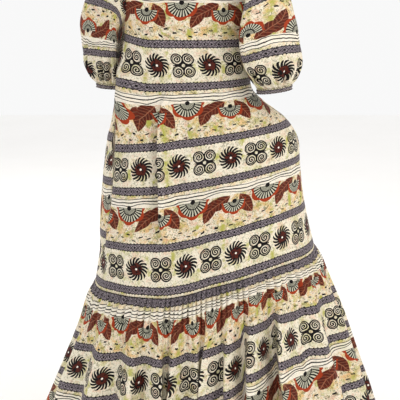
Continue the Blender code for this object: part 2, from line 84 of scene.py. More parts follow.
def wander(t, seed):
    # slow uneven swing between about -1 and 1, the same on each run
    return (
        0.55 * np.sin(t + seed * 1.7) + 0.30 * np.sin(2.3 * t + seed * 3.1)
        + 0.20 * np.sin(4.1 * t + seed * 5.3)
    )


def unit(v):
    return v / np.maximum(np.linalg.norm(v, axis=-1, keepdims=True), 1e-12)


def gridNormals(points, closed=False):
    # outward directions of a grid whose rows run down and columns run across
    if closed:
        across = np.roll(points, -1, axis=1) - np.roll(points, 1, axis=1)
    else:
        across = np.gradient(points, axis=1)
    along = np.gradient(points, axis=0)
    return unit(np.cross(across, along))


def arcFrom(points, column):
    # length of cloth along each row, from one column
    step = np.linalg.norm(np.diff(points, axis=1), axis=-1)
    run = np.concatenate([np.zeros((len(points), 1)), np.cumsum(step, axis=1)], axis=1)
    return run - run[:, column:column + 1]


# the body's form: sizes of its rounded sections from the flounce seam up to the underarm
body = {
    "levels": (-0.897, -0.800, -0.715, -0.640, -0.570, -0.510, -0.450, -0.400, -0.330, -0.270, -0.210),
    "shift": (0.041, 0.037, 0.031, 0.030, 0.031, 0.019, -0.004, -0.017, -0.010, -0.005, 0.0),
    "halfWidth": (0.316, 0.297, 0.288, 0.282, 0.274, 0.253, 0.213, 0.190, 0.181, 0.177, 0.180),
    "back": (0.250, 0.224, 0.206, 0.192, 0.176, 0.156, 0.132, 0.118, 0.116, 0.119, 0.120),
    "front": (0.240, 0.210, 0.188, 0.170, 0.158, 0.148, 0.138, 0.134, 0.146, 0.152, 0.136),
    "tilt": (0.165, 0.170, 0.162, 0.152, 0.140, 0.126, 0.090, 0.050, 0.020, 0.0, 0.0),
    # where the sections sag: facing, place across, width, drop at the flounce seam
    "sags": ((-1, -0.055, 0.105, 0.018), (-1, 0.245, 0.075, -0.010), (1, 0.030, 0.130, 0.014)),
    "sagStart": -0.420,
    # side seams, as angles from the centre back
    "seamLevels": (-0.897, -0.820, -0.740, -0.650, -0.500, -0.400, -0.210),
    "seamLeft": (-88.0, -75.0, -68.0, -66.0, -72.0, -80.0, -90.0),
    "seamRight": (90.0, 90.0, 90.0, 90.0, 90.0, 90.0, 90.0),
    # pocket mouths: side, level, half length, half gap, how far the bag reaches
    "pockets": {
        "pocket_right": (1, -0.490, 0.078, 0.0150, 0.125),
        "pocket_left": (-1, -0.500, 0.078, 0.0050, 0.115),
    },
}
flounceSeam, underarm = body["levels"][0], body["levels"][-1]


def section(level):
    # sizes at a level: shift, half width, depth to the back, depth to the front, tilt
    columns = ("shift", "halfWidth", "back", "front", "tilt")
    return [readTable(body["levels"], body[column], level) for column in columns]


def settled(points, level):
    # gives points of a section the height they have on its slope
    shift, tilt = section(level)[0], section(level)[4]
    x, y = points[..., 0], points[..., 1]
    grown = eased((body["sagStart"] - level) / (body["sagStart"] - flounceSeam))
    sag = sum(
        drop * grown * np.exp(-(((x - place) / width) ** 2)) * (facing * y > 0.0)
        for facing, place, width, drop in body["sags"]
    )
    points[..., 2] = level + tilt * (x - shift) - sag
    return points


def bodyPoint(angle, level):
    angle, level = np.broadcast_arrays(np.asarray(angle, float), np.asarray(level, float))
    shift, halfWidth, back, front, _ = section(level)
    turn = np.radians(angle)
    depth = np.where(np.cos(turn) > 0, back, front)
    power = cloth["squareness"]
    reach = np.abs(np.sin(turn) / halfWidth) ** power + np.abs(np.cos(turn) / depth) ** power
    reach = reach ** (-1.0 / power)
    points = np.stack([shift + reach * np.sin(turn), -reach * np.cos(turn), level], axis=-1)
    return settled(points, level)


def bodyNormal(angle, level):
    along = bodyPoint(np.asarray(angle) + 0.5, level) - bodyPoint(np.asarray(angle) - 0.5, level)
    return unit(np.stack([along[..., 1], -along[..., 0], np.zeros_like(along[..., 0])], axis=-1))


def seamAngle(side, level, facing, gap):
    # a panel's side edge, drawn back from the seam by half of the pocket mouth's opening
    key = "seamRight" if side > 0 else "seamLeft"
    angle = readTable(body["seamLevels"], body[key], level)
    pocket = body["pockets"]["pocket_right" if side > 0 else "pocket_left"]
    t = (level - pocket[1]) / pocket[2]
    opening = np.where(np.abs(t) < 1.0, pocket[3] * (1.0 - t * t), 0.0) + gap
    along = np.linalg.norm(bodyPoint(angle + 0.5, level) - bodyPoint(angle - 0.5, level), axis=-1)
    return angle + side * facing * opening / along


# above the underarm: sections, the neck, and where each panel's side edge runs
chest = {
    "levels": (-0.210, -0.150, -0.100, -0.050, 0.040),
    "halfWidth": (0.180, 0.193, 0.202, 0.208, 0.215),
    "back": (0.120, 0.114, 0.104, 0.092, 0.078),
    "front": (0.136, 0.118, 0.101, 0.086, 0.072),
    "neckHalfWidth": 0.078,
    "shoulderX": 0.175,
    "slope": 0.42,            # of the shoulders
    "roll": 0.085,            # how far below the shoulder line the cloth starts to turn over
    "fan": 0.46,              # how much the columns draw in towards the neck
    "crowding": (1.15, 1.7),  # of the rows, at the neck and at the shoulder
    "bladeShift": 0.016,
    "roundness": 2.3,
    "backDrop": 0.016,
    "frontDrop": 0.090,
    "rises": (0.0, 0.08, 0.22, 0.45, 0.75, 1.0),
    "edge": (0.180, 0.170, 0.159, 0.155, 0.162, 0.175),
}


def shoulderLine(x):
    return -chest["slope"] * (np.abs(x) - chest["neckHalfWidth"])


def onChest(facing, x, z):
    key = "front" if facing > 0 else "back"
    halfWidth = readTable(chest["levels"], chest["halfWidth"], z)
    depth = readTable(chest["levels"], chest[key], z)
    ratio = np.minimum(np.abs(x) / halfWidth, 1.0)
    depth = depth * (1.0 - ratio ** cloth["squareness"]) ** (1.0 / cloth["squareness"])
    rolled = np.clip((z - shoulderLine(x) + chest["roll"]) / chest["roll"], 0.0, 1.0)
    y = facing * (depth * np.sqrt(1.0 - rolled**2) + 0.0004)
    return np.stack([x, y, z + 0.0 * x], axis=-1)


def panelTop(facing, x):
    drop = chest["frontDrop"] if facing > 0 else chest["backDrop"]
    ratio = np.minimum(np.abs(x) / chest["neckHalfWidth"], 1.0)
    return np.where(ratio < 1.0, -drop * (1.0 - ratio ** chest["roundness"]), shoulderLine(x))


def chestPoint(facing, sideways, rise):
    sideways, rise = np.broadcast_arrays(np.asarray(sideways, float), np.asarray(rise, float))
    drawnIn = chest["fan"] * sideways * (1.0 - np.abs(sideways))
    x = (sideways - drawnIn * rise**2) * readTable(chest["rises"], chest["edge"], rise)
    atTop = (sideways - drawnIn) * chest["shoulderX"]
    top = panelTop(facing, atTop)
    outside = np.minimum(np.abs(atTop) / chest["neckHalfWidth"], 1.0) ** 3
    atNeck, atShoulder = chest["crowding"]
    crowding = atNeck + (atShoulder - atNeck) * outside
    points = onChest(facing, x, top - (top - underarm) * (1.0 - rise) ** crowding)
    shifted = np.sin(math.pi * np.minimum(rise / 0.75, 1.0)) ** 2 * sideways**2
    points[..., 0] -= chest["bladeShift"] * shifted
    return points


def flatSheet(name, columns, rows):
    bpy.ops.object.select_all(action="DESELECT")
    bpy.ops.mesh.primitive_grid_add(x_subdivisions=columns - 1, y_subdivisions=rows - 1, size=2.0)
    sheet = bpy.context.active_object
    sheet.name = sheet.data.name = name
    return sheet


def hang(name, points, flatU, flatV, material, closed=False, flip=False, fromEdge=None):
    # moves a flat grid's vertices to the cloth's shape; its UVs keep the flat cut in metres
    rows, columns = points.shape[:2]
    sheet = flatSheet(name, columns, rows)
    mesh = sheet.data
    if len(mesh.vertices) != rows * columns:
        raise ValueError(name + ": the grid has another number of vertices than its shape")
    place = np.empty(len(mesh.vertices) * 3)
    mesh.vertices.foreach_get("co", place)
    place = place.reshape(-1, 3)
    column = np.rint((place[:, 0] + 1.0) / 2.0 * (columns - 1)).astype(int)
    row = np.rint((1.0 - place[:, 1]) / 2.0 * (rows - 1)).astype(int)
    corner = np.empty(len(mesh.loops), dtype=np.int32)
    mesh.loops.foreach_get("vertex_index", corner)
    flat = np.stack([flatU[row, column], flatV[row, column]], axis=-1)[corner]
    while mesh.uv_layers:
        mesh.uv_layers.remove(mesh.uv_layers[0])
    cut = mesh.uv_layers.new(name="flatCut")
    cut.data.foreach_set("uv", flat.ravel().astype(np.float32))
    # a second map says how far each place lies from a stitched edge
    fromEdge = np.ones_like(flatU) if fromEdge is None else fromEdge
    sewn = np.stack([flatU[row, column], fromEdge[row, column]], axis=-1)[corner]
    mesh.uv_layers.new(name="seamPlace").data.foreach_set("uv", sewn.ravel().astype(np.float32))
    mesh.vertices.foreach_set("co", points[row, column].ravel())
    mesh.update()
    bpy.context.view_layer.objects.active = sheet
    bpy.ops.object.mode_set(mode="EDIT")
    bpy.ops.mesh.select_all(action="SELECT")
    if closed:
        bpy.ops.mesh.remove_doubles(threshold=0.00002)
    if flip:
        bpy.ops.mesh.flip_normals()
    bpy.ops.object.mode_set(mode="OBJECT")
    mesh.materials.clear()
    mesh.materials.append(material)
    mesh.shade_smooth()
    wall = sheet.modifiers.new("wall", "SOLIDIFY")
    wall.thickness = cloth["thickness"]
    wall.offset = 0.0
    bpy.ops.object.modifier_apply(modifier=wall.name)
    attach(sheet, "root")
    print("sheet", name, columns, "by", rows, "faces", len(mesh.polygons))
    return sheet


def creased(x, z, creases):
    # height of the listed creases at places across and up the body
    out = np.zeros_like(x)
    for x0, z0, x1, z1, width, height, steepness in creases:
        dx, dz = x1 - x0, z1 - z0
        length = math.hypot(dx, dz)
        along = ((x - x0) * dx + (z - z0) * dz) / length**2
        off = ((x - x0) * dz - (z - z0) * dx) / length
        off = off + 0.25 * width * np.sin(along * 5.0 + x0 * 40.0)
        side = np.where(off > 0.0, 1.0 + steepness, 1.0 - steepness)
        fade = eased((along + 0.10) / 0.35) * eased((1.10 - along) / 0.35)
        out += height * fade * np.exp(-((off * side / width) ** 2))
    return out


def linear(hexColour):
    parts = [int(hexColour[i:i + 2], 16) / 255.0 for i in (1, 3, 5)]
    return tuple(c / 12.92 if c <= 0.04045 else ((c + 0.055) / 1.055) ** 2.4 for c in parts) + (1.0,)


def add(tree, kind, inputs, out=0, **settings):
    # one node, with its settings, and its inputs linked or set
    made = tree.nodes.new("ShaderNode" + kind)
    for name, value in settings.items():
        setattr(made, name, value)
    places = inputs.items() if isinstance(inputs, dict) else enumerate(inputs)
    for place, value in places:
        if isinstance(value, bpy.types.NodeSocket):
            tree.links.new(value, made.inputs[place])
        else:
            made.inputs[place].default_value = value
    return made.outputs[out]


def printInks(tree, ground, *layers):
    # lays each ink over what is there, where its mask is 1, in the order of printing
    for colour, mask in layers:
        ground = add(tree, "Mix", {0: mask, 6: ground, 7: colour}, out=2, data_type="RGBA")
    return ground


def distance(tree, x, y):
    # from a motif's middle
    spot = add(tree, "CombineXYZ", [x, y, 0.0])
    return add(tree, "VectorMath", [spot], out=1, operation="LENGTH")


def offMiddle(tree, turns):
    # where a place lies in its own repeat, from -0.5 to 0.5
    share = add(tree, "Math", [turns], operation="FRACT")
    return add(tree, "Math", [share, 0.5], operation="SUBTRACT")


inkColours = {
    "cream": "#F0E9D6",
    "creamPink": "#E2BBA0",
    "yellowGreen": "#B9B75C",
    "yellow": "#E2B968",
    "olive": "#6E673A",
    "clay": "#C98B6C",
    "black": "#120D10",
    "grey": "#82797F",
    "greyPale": "#A49B9F",
    "greyDark": "#3A3238",
    "rust": "#5C2719",
    "leafVein": "#B98263",
    "orange": "#A9431F",
    "darkRed": "#561713",
    "sage": "#CFCDB9",
    "white": "#F8F3E8",
    "oldWax": "#6E5A44",      # what seeps into the crackle
    "reverse": "#D8CDBB",     # veil over the print, for the cloth's paler face
    "thread": "#D9CFB8",
}
ink = {name: linear(colour) for name, colour in inkColours.items()}

printLook = {
    "repeat": 0.272,          # metres up the cloth from a grey band to the next one like it
    "greyLow": 0.018,         # centre of the band below the symbols, above the flounce seam
    "greyHigh": 0.135,        # centre of the band above them
    "greyHalf": 0.0100,
    "symbolLevel": 0.0765,
    "symbolHalf": 0.046,      # half the height of their row
    "symbolPitch": 0.0712,
    "symbolStart": -0.0686,   # a four-spiral symbol's place across
    "rowStep": -0.0145,       # the symbols step across by this, times the repeat's number squared
    "blockWobble": 0.0034,    # how far the hand-cut blocks stray
}

# how fine each uneven pattern is, as its number of patches to a metre of cloth
grain = {
    "wobble": 55.0,           # 18 mm each
    "wash": 30.0,             # 33 mm
    "secondWash": 25.0,       # 40 mm
    "scribble": 105.0,        # 10 mm
    "redInk": 120.0,          # 8 mm
    "wave": 13.0,             # 77 mm
    "greyCrackle": 190.0,     # 5 mm
    "greyClouds": 260.0,      # 4 mm
    "crackle": 75.0,          # 13 mm
    "crumple": 22.0,          # 45 mm
}


hornSizes = {
    "radius": 0.0146,
    "across": 0.0150,         # from the symbol's middle to each spiral's
    "up": 0.0168,
    "pitch": 0.0060,          # from one winding to the next
    "inkShare": 0.62,         # of the pitch
    "startTurn": 0.35,
    "rimHalf": 0.0018,
    "rimGap": 0.0030,
    "middle": 0.0115,
    "barHalf": 0.0023,
    "barTaper": 0.030,
    "barLength": 0.027,
    "hubRadius": 0.0046,
}


def ramHorns(tree, x, y):
    # four spirals mirrored about the middle, with bars between them and a white centre
    look = hornSizes
    ax = add(tree, "Math", [x], operation="ABSOLUTE")
    ay = add(tree, "Math", [y], operation="ABSOLUTE")
    sx = add(tree, "Math", [ax, look["across"]], operation="SUBTRACT")
    sy = add(tree, "Math", [ay, look["up"]], operation="SUBTRACT")
    r = distance(tree, sx, sy)
    turn = add(tree, "Math", [sy, sx], operation="ARCTAN2")
    turn = add(tree, "Math", [turn, 2.0 * math.pi], operation="DIVIDE")
    wound = add(tree, "Math", [r, 1.0 / look["pitch"], turn], operation="MULTIPLY_ADD")
    wound = add(tree, "Math", [wound, look["startTurn"]], operation="ADD")
    wound = add(tree, "Math", [wound], operation="FRACT")
    ring = add(tree, "Math", [wound, look["inkShare"]], operation="LESS_THAN")
    inside = add(tree, "Math", [r, look["radius"] - look["rimGap"]], operation="LESS_THAN")
    spiral = add(tree, "Math", [ring, inside], operation="MULTIPLY")
    rim = add(tree, "Math", [r, look["radius"], look["rimHalf"]], operation="COMPARE")
    diagonal = add(tree, "Math", [ax, ay], operation="ADD")
    middle = add(tree, "Math", [diagonal, look["middle"]], operation="LESS_THAN")
    outside = add(tree, "Math", [r, look["radius"]], operation="GREATER_THAN")
    middle = add(tree, "Math", [middle, outside], operation="MULTIPLY")
    taper = add(tree, "Math", [ax, -look["barTaper"], look["barHalf"]], operation="MULTIPLY_ADD")
    bar = add(tree, "Math", [ay, taper], operation="LESS_THAN")
    barEnd = add(tree, "Math", [ax, look["barLength"]], operation="LESS_THAN")
    bar = add(tree, "Math", [bar, barEnd], operation="MULTIPLY")
    dark = spiral
    for part in (rim, middle, bar):
        dark = add(tree, "Math", [dark, part], operation="MAXIMUM")
    hub = add(tree, "Math", [distance(tree, x, y), look["hubRadius"]], operation="GREATER_THAN")
    return add(tree, "Math", [dark, hub], operation="MULTIPLY")


sunSizes = {
    "rays": 16,
    "radius": 0.0320,
    "swirl": 520.0,           # how much the rays turn on their way out
    "rayWidth": 0.0080,
    "discRadius": 0.0160,
    "dotRadius": 0.0030,
    "waves": 5.0,             # round the tips and the disc, with their depths below
    "tipWave": 0.0010,
    "discWave": 0.0014,
}


def sunShape(tree, x, y):
    # swirling rays round a dark red disc: returns the rays, the disc and the white dot
    look = sunSizes
    r = distance(tree, x, y)
    turn = add(tree, "Math", [y, x], operation="ARCTAN2")
    curl = add(tree, "Math", [r, r], operation="MULTIPLY")
    swirl = add(tree, "Math", [curl, look["swirl"], turn], operation="MULTIPLY_ADD")
    share = add(tree, "Math", [swirl, look["rays"] / (2.0 * math.pi)], operation="MULTIPLY")
    off = add(tree, "Math", [offMiddle(tree, share)], operation="ABSOLUTE")
    width = add(tree, "Math", [off, r], operation="MULTIPLY")
    ray = add(tree, "Math", [width, look["rayWidth"]], operation="LESS_THAN")
    uneven = add(tree, "Math", [turn, look["waves"]], operation="MULTIPLY")
    uneven = add(tree, "Math", [uneven], operation="SINE")
    tip = add(tree, "Math", [uneven, look["tipWave"], look["radius"]], operation="MULTIPLY_ADD")
    reach = add(tree, "Math", [r, tip], operation="LESS_THAN")
    ray = add(tree, "Math", [ray, reach], operation="MULTIPLY")
    edge = add(tree, "Math", [uneven, look["discWave"], look["discRadius"]], operation="MULTIPLY_ADD")
    disc = add(tree, "Math", [r, edge], operation="LESS_THAN")
    dot = add(tree, "Math", [r, look["dotRadius"]], operation="LESS_THAN")
    return ray, disc, dot


flowerSizes = {
    "petals": 3.5,            # in the half round
    "petalDepth": 0.13,       # shares of the radius, as the two below
    "rimFrom": 0.79,
    "ringAt": 0.40,
    "ringHalf": 0.0014,
    "ribs": 13.0,
    "calyx": 0.0062,
}


def openFlower(tree, x, y, radius):
    # half-round flower, open side down: returns the ribs, the petals' rim and the whole
    look = flowerSizes
    r = distance(tree, x, y)
    down = add(tree, "Math", [y, -1.0], operation="MULTIPLY")
    turn = add(tree, "Math", [x, down], operation="ARCTAN2")
    petals = add(tree, "Math", [turn, look["petals"]], operation="MULTIPLY")
    petals = add(tree, "Math", [petals], operation="COSINE")
    petals = add(tree, "Math", [petals], operation="ABSOLUTE")
    least = radius * (1.0 - look["petalDepth"])
    edge = add(tree, "Math", [petals, radius * look["petalDepth"], least], operation="MULTIPLY_ADD")
    whole = add(tree, "Math", [r, edge], operation="LESS_THAN")
    lower = add(tree, "Math", [down, 0.0], operation="GREATER_THAN")
    whole = add(tree, "Math", [whole, lower], operation="MULTIPLY")
    rim = add(tree, "Math", [r, radius * look["rimFrom"]], operation="GREATER_THAN")
    rib = add(tree, "Math", [turn, look["ribs"] / math.pi], operation="MULTIPLY")
    rib = add(tree, "Math", [rib], operation="FRACT")
    rib = add(tree, "Math", [rib, 0.5, 0.25], operation="COMPARE")
    ring = add(tree, "Math", [r, radius * look["ringAt"], look["ringHalf"]], operation="COMPARE")
    calyx = add(tree, "Math", [r, look["calyx"]], operation="LESS_THAN")
    for part in (ring, calyx):
        rib = add(tree, "Math", [rib, part], operation="MAXIMUM")
    whole = add(tree, "Math", [whole, calyx], operation="MAXIMUM")
    return rib, rim, whole


leafSizes = {"ribHalf": 0.0011, "veinSlant": 0.8, "veinPitch": 0.0105, "veinShare": 0.13}


def leafShape(tree, x, y, turn, length, half):
    # pointed leaf with a pale midrib and side veins: returns the leaf and its veins
    look = leafSizes
    along = add(tree, "Math", [x, math.cos(turn)], operation="MULTIPLY")
    along = add(tree, "Math", [y, math.sin(turn), along], operation="MULTIPLY_ADD")
    off = add(tree, "Math", [x, -math.sin(turn)], operation="MULTIPLY")
    off = add(tree, "Math", [y, math.cos(turn), off], operation="MULTIPLY_ADD")
    off = add(tree, "Math", [off], operation="ABSOLUTE")
    share = add(tree, "Math", [along, 1.0 / length], operation="MULTIPLY")
    share = add(tree, "Math", [share, share], operation="MULTIPLY")
    edge = add(tree, "Math", [share, -half, half], operation="MULTIPLY_ADD")
    leaf = add(tree, "Math", [off, edge], operation="LESS_THAN")
    rib = add(tree, "Math", [off, look["ribHalf"]], operation="LESS_THAN")
    slanted = add(tree, "Math", [off, look["veinSlant"], along], operation="MULTIPLY_ADD")
    vein = add(tree, "Math", [slanted, 1.0 / look["veinPitch"]], operation="MULTIPLY")
    vein = add(tree, "Math", [vein], operation="FRACT")
    vein = add(tree, "Math", [vein, look["veinShare"]], operation="LESS_THAN")
    return leaf, add(tree, "Math", [rib, vein], operation="MAXIMUM")


def washedGround(tree, cutPlace, wash, secondWash, flowerT):
    # cream with pink and yellow-green washes, stronger under the flowers: returns it and the green
    washBand = {0: flowerT, 1: 0.0, 2: 0.004, 3: 0.0, 4: 1.0}
    washBand = add(tree, "MapRange", washBand, interpolation_type="SMOOTHSTEP")
    washTop = {0: flowerT, 1: 0.100, 2: 0.112, 3: 1.0, 4: 0.55}
    washTop = add(tree, "MapRange", washTop, interpolation_type="SMOOTHSTEP")
    washBand = add(tree, "Math", [washBand, washTop], operation="MULTIPLY")
    strength = add(tree, "MapRange", {0: washBand, 3: 0.70, 4: 1.0})
    scribble = add(tree, "TexNoise", {0: cutPlace, 2: grain["scribble"], 3: 4.0, 4: 0.66, 8: 1.8})
    # each wash: its ink, the pattern it follows, from and to where there, its most, its place
    washes = (
        ("creamPink", wash, 0.53, 0.64, 0.75, strength),
        ("yellow", wash, 0.52, 0.40, 0.70, washBand),
        ("yellowGreen", secondWash, 0.50, 0.62, 0.66, strength),
        ("olive", scribble, 0.550, 0.575, 0.75, strength),   # fine marks, as of a dry brush
        ("clay", scribble, 0.415, 0.400, 0.55, strength),
    )
    colour, masks = ink["cream"], {}
    for name, pattern, start, full, most, place in washes:
        mask = add(tree, "MapRange", {0: pattern, 1: start, 2: full, 3: 0.0, 4: most})
        masks[name] = add(tree, "Math", [mask, place], operation="MULTIPLY")
        colour = printInks(tree, colour, (ink[name], masks[name]))
    return colour, masks["yellowGreen"]


def symbolRow(tree, colour, u, v, up, green, redInk):
    # spirals and suns in turn, each drawn from its own middle
    look = printLook
    along = add(tree, "Math", [v, look["greyLow"]], operation="SUBTRACT")
    along = add(tree, "Math", [along, look["repeat"]], operation="DIVIDE")
    along = add(tree, "Math", [along], operation="FLOOR")
    along = add(tree, "Math", [along, along], operation="MULTIPLY")
    along = add(tree, "Math", [along, -look["rowStep"], u], operation="MULTIPLY_ADD")
    along = add(tree, "Math", [along, look["symbolStart"]], operation="SUBTRACT")
    along = add(tree, "Math", [along, 1.0 / look["symbolPitch"], 0.5], operation="MULTIPLY_ADD")
    cell = add(tree, "Math", [along], operation="FLOOR")
    odd = add(tree, "Math", [cell, 2.0], operation="FLOORED_MODULO")
    even = add(tree, "Math", [odd, 0.5], operation="LESS_THAN")
    off = offMiddle(tree, along)
    x = add(tree, "Math", [off, look["symbolPitch"]], operation="MULTIPLY")
    y = add(tree, "Math", [up, look["symbolLevel"] - look["greyLow"]], operation="SUBTRACT")
    horns = add(tree, "Math", [ramHorns(tree, x, y), even], operation="MULTIPLY")
    suns = sunShape(tree, x, y)
    ray, disc, dot = [add(tree, "Math", [part, odd], operation="MULTIPLY") for part in suns]
    # a yellow-green smudge between neighbours
    edgeOff = add(tree, "Math", [off], operation="ABSOLUTE")
    smudge = add(tree, "MapRange", {0: edgeOff, 1: 0.36, 2: 0.48, 3: 0.0, 4: 1.0})
    smudge = add(tree, "Math", [smudge, green], operation="MULTIPLY")
    smudge = add(tree, "Math", [smudge, 2.0], operation="MULTIPLY", use_clamp=True)
    colour = printInks(tree, colour, (ink["yellowGreen"], smudge))
    redMix = add(tree, "MapRange", {0: redInk, 1: 0.42, 2: 0.58})
    blotch = add(tree, "Math", [redInk, 0.46], operation="LESS_THAN")
    red = printInks(tree, ink["darkRed"], (ink["rust"], redMix), (ink["black"], blotch))
    symbols = printInks(tree, colour, (ink["black"], horns), (ink["black"], ray), (red, disc))
    symbols = printInks(tree, symbols, (ink["white"], dot))
    inRow = add(tree, "Math", [y, 0.0, look["symbolHalf"]], operation="COMPARE")
    return printInks(tree, colour, (symbols, inRow))


flowerBand = {
    "repeat": 0.212,
    "level": 0.0570,          # above the grey band's edge, as the levels below
    "half": 0.0600,
    "whiteLevel": 0.1115,
    "whiteHalf": 0.0125,
    "white": 0.70,
    # wavy lines: level, swing, half width
    "lines": ((0.1235, 0.014, 0.0009), (0.1150, 0.022, 0.0014), (0.1065, 0.034, 0.0010)),
    # each motif: its kind, its place in the repeat, its height, then its own sizes
    "motifs": (
        ("leaf", 0.072, 0.0640, 1.10, 0.0350, 0.0170),
        ("leaf", 0.178, 0.0660, 2.15, 0.0370, 0.0185),
        ("leaf", 0.101, 0.0800, 0.50, 0.0330, 0.0175),
        ("flower", 0.026, 0.1000, 0.0480),
        ("flower", 0.143, 0.0800, 0.0390),
    ),
    # dashes: level, place in the pitch
    "dashes": ((-0.010, 0.30), (0.003, 0.72)),
    "dashPitch": 0.0400,
    "dashHalf": 0.13,         # half its length, as a share of the pitch
    "dashSwing": 0.045,
    "dashThick": 0.0018,
}


def flowerRow(tree, colour, cutPlace, u, flowerT, redInk):
    # three wavy lines on white over open flowers, leaves and small dashes
    look = flowerBand
    wave = add(tree, "TexNoise", {0: cutPlace, 2: grain["wave"], 3: 1.0})
    white = add(tree, "Math", [flowerT, look["whiteLevel"], look["whiteHalf"]], operation="COMPARE")
    white = add(tree, "Math", [white, look["white"]], operation="MULTIPLY")
    colour = printInks(tree, colour, (ink["white"], white))
    drawn = colour
    for kind, across, level, *sizes in look["motifs"]:
        place = add(tree, "Math", [u, across], operation="SUBTRACT")
        place = add(tree, "Math", [place, 1.0 / look["repeat"], 0.5], operation="MULTIPLY_ADD")
        x = add(tree, "Math", [offMiddle(tree, place), look["repeat"]], operation="MULTIPLY")
        y = add(tree, "Math", [flowerT, level], operation="SUBTRACT")
        if kind == "flower":
            rib, rim, whole = openFlower(tree, x, y, *sizes)
            fill = printInks(tree, ink["sage"], (ink["black"], rib), (ink["orange"], rim))
        else:
            whole, veins = leafShape(tree, x, y, *sizes)
            veins = add(tree, "Math", [veins, 0.6], operation="MULTIPLY")
            flush = add(tree, "MapRange", {0: redInk, 1: 0.5, 2: 0.6, 3: 0.0, 4: 0.22})
            fill = printInks(tree, ink["rust"], (ink["leafVein"], veins), (ink["orange"], flush))
        drawn = printInks(tree, drawn, (fill, whole))
    dashPlace = add(tree, "Math", [u, 1.0 / look["dashPitch"]], operation="MULTIPLY")
    dashPlace = add(tree, "Math", [dashPlace], operation="FRACT")
    for level, middle in look["dashes"]:
        dash = add(tree, "Math", [dashPlace, middle, look["dashHalf"]], operation="COMPARE")
        height = add(tree, "Math", [wave, look["dashSwing"], level], operation="MULTIPLY_ADD")
        height = add(tree, "Math", [flowerT, height, look["dashThick"]], operation="COMPARE")
        dash = add(tree, "Math", [dash, height], operation="MULTIPLY")
        drawn = printInks(tree, drawn, (ink["black"], dash))
    inBand = add(tree, "Math", [flowerT, look["level"], look["half"]], operation="COMPARE")
    colour = printInks(tree, colour, (drawn, inBand))
    for level, swing, half in look["lines"]:
        line = add(tree, "Math", [wave, swing, level - swing * 0.5], operation="MULTIPLY_ADD")
        line = add(tree, "Math", [flowerT, line, half], operation="COMPARE")
        colour = printInks(tree, colour, (ink["black"], line))
    return colour


greyLook = {
    "veinWidth": 0.055,
    "veins": 0.8,
    "zigzag": 0.0095,         # half its pitch
    "zigzagSlope": 0.95,
    "zigzagHalf": 0.0010,
    "dotPitch": 0.0190,
    "dotRadius": 0.0027,
    "tooth": 0.0047,          # half their pitch
    "toothFlat": 0.0022,
    "toothSlope": 0.90,
    "edgeIn": 0.0013,         # the black edge reaches this far in
    "edgeOut": 0.0006,
}


def greyBands(tree, colour, cutPlace, u, up):
    # two to a repeat, with toothed black edges, dots, a zigzag and crackle
    look, repeat, half = greyLook, printLook["repeat"], printLook["greyHalf"]
    low = add(tree, "Math", [up, repeat / 2.0], operation="ADD")
    low = add(tree, "Math", [low, repeat], operation="FLOORED_MODULO")
    low = add(tree, "Math", [low, repeat / 2.0], operation="SUBTRACT")
    low = add(tree, "Math", [low], operation="ABSOLUTE")
    high = add(tree, "Math", [up, printLook["greyHigh"] - printLook["greyLow"]], operation="SUBTRACT")
    high = add(tree, "Math", [high], operation="ABSOLUTE")
    off = add(tree, "Math", [low, high], operation="MINIMUM")
    cells = {0: cutPlace, 2: grain["greyCrackle"]}
    veins = add(tree, "TexVoronoi", cells, feature="DISTANCE_TO_EDGE")
    veins = add(tree, "Math", [veins, look["veinWidth"]], operation="LESS_THAN")
    veins = add(tree, "Math", [veins, look["veins"]], operation="MULTIPLY")
    clouds = add(tree, "TexNoise", {0: cutPlace, 2: grain["greyClouds"], 3: 2.0})
    clouds = add(tree, "MapRange", {0: clouds, 1: 0.42, 2: 0.60})
    band = printInks(tree, ink["grey"], (ink["greyPale"], clouds), (ink["greyDark"], veins))
    zigzag = add(tree, "Math", [u, look["zigzag"]], operation="PINGPONG")
    zigzag = add(tree, "Math", [zigzag, look["zigzagSlope"]], operation="MULTIPLY")
    zigzag = add(tree, "Math", [off, zigzag, look["zigzagHalf"]], operation="COMPARE")
    dots = add(tree, "Math", [u, 1.0 / look["dotPitch"]], operation="MULTIPLY")
    dots = add(tree, "Math", [offMiddle(tree, dots), look["dotPitch"]], operation="MULTIPLY")
    dots = add(tree, "Math", [distance(tree, dots, off), look["dotRadius"]], operation="LESS_THAN")
    band = printInks(tree, band, (ink["greyDark"], zigzag), (ink["black"], dots))
    tooth = add(tree, "Math", [u, look["tooth"]], operation="PINGPONG")
    tooth = add(tree, "Math", [tooth, look["toothFlat"]], operation="SUBTRACT")
    tooth = add(tree, "Math", [tooth, 0.0], operation="MAXIMUM")
    edge = half + look["edgeOut"]
    tooth = add(tree, "Math", [tooth, look["toothSlope"], edge], operation="MULTIPLY_ADD")
    inBand = add(tree, "Math", [off, half], operation="LESS_THAN")
    edgeIn = add(tree, "Math", [off, half - look["edgeIn"]], operation="GREATER_THAN")
    edgeOut = add(tree, "Math", [off, tooth], operation="LESS_THAN")
    edge = add(tree, "Math", [edgeIn, edgeOut], operation="MULTIPLY")
    return printInks(tree, colour, (band, inBand), (ink["black"], edge))


stitching = {
    "pitch": 0.0032,
    "share": 0.66,            # of the pitch that shows thread
    "in": 0.0030,             # from the edge
    "threadHalf": 0.0004,
}
weave = {
    "threadPitch": 0.0011,    # real threads are 0.3 mm apart, too fine to show
    "threads": 0.05,          # shares of the relief, which is 4 mm at most
    "seamDip": -0.12,
    "stitch": 0.20,
    "depth": 0.004,
    "strength": 0.35,
}


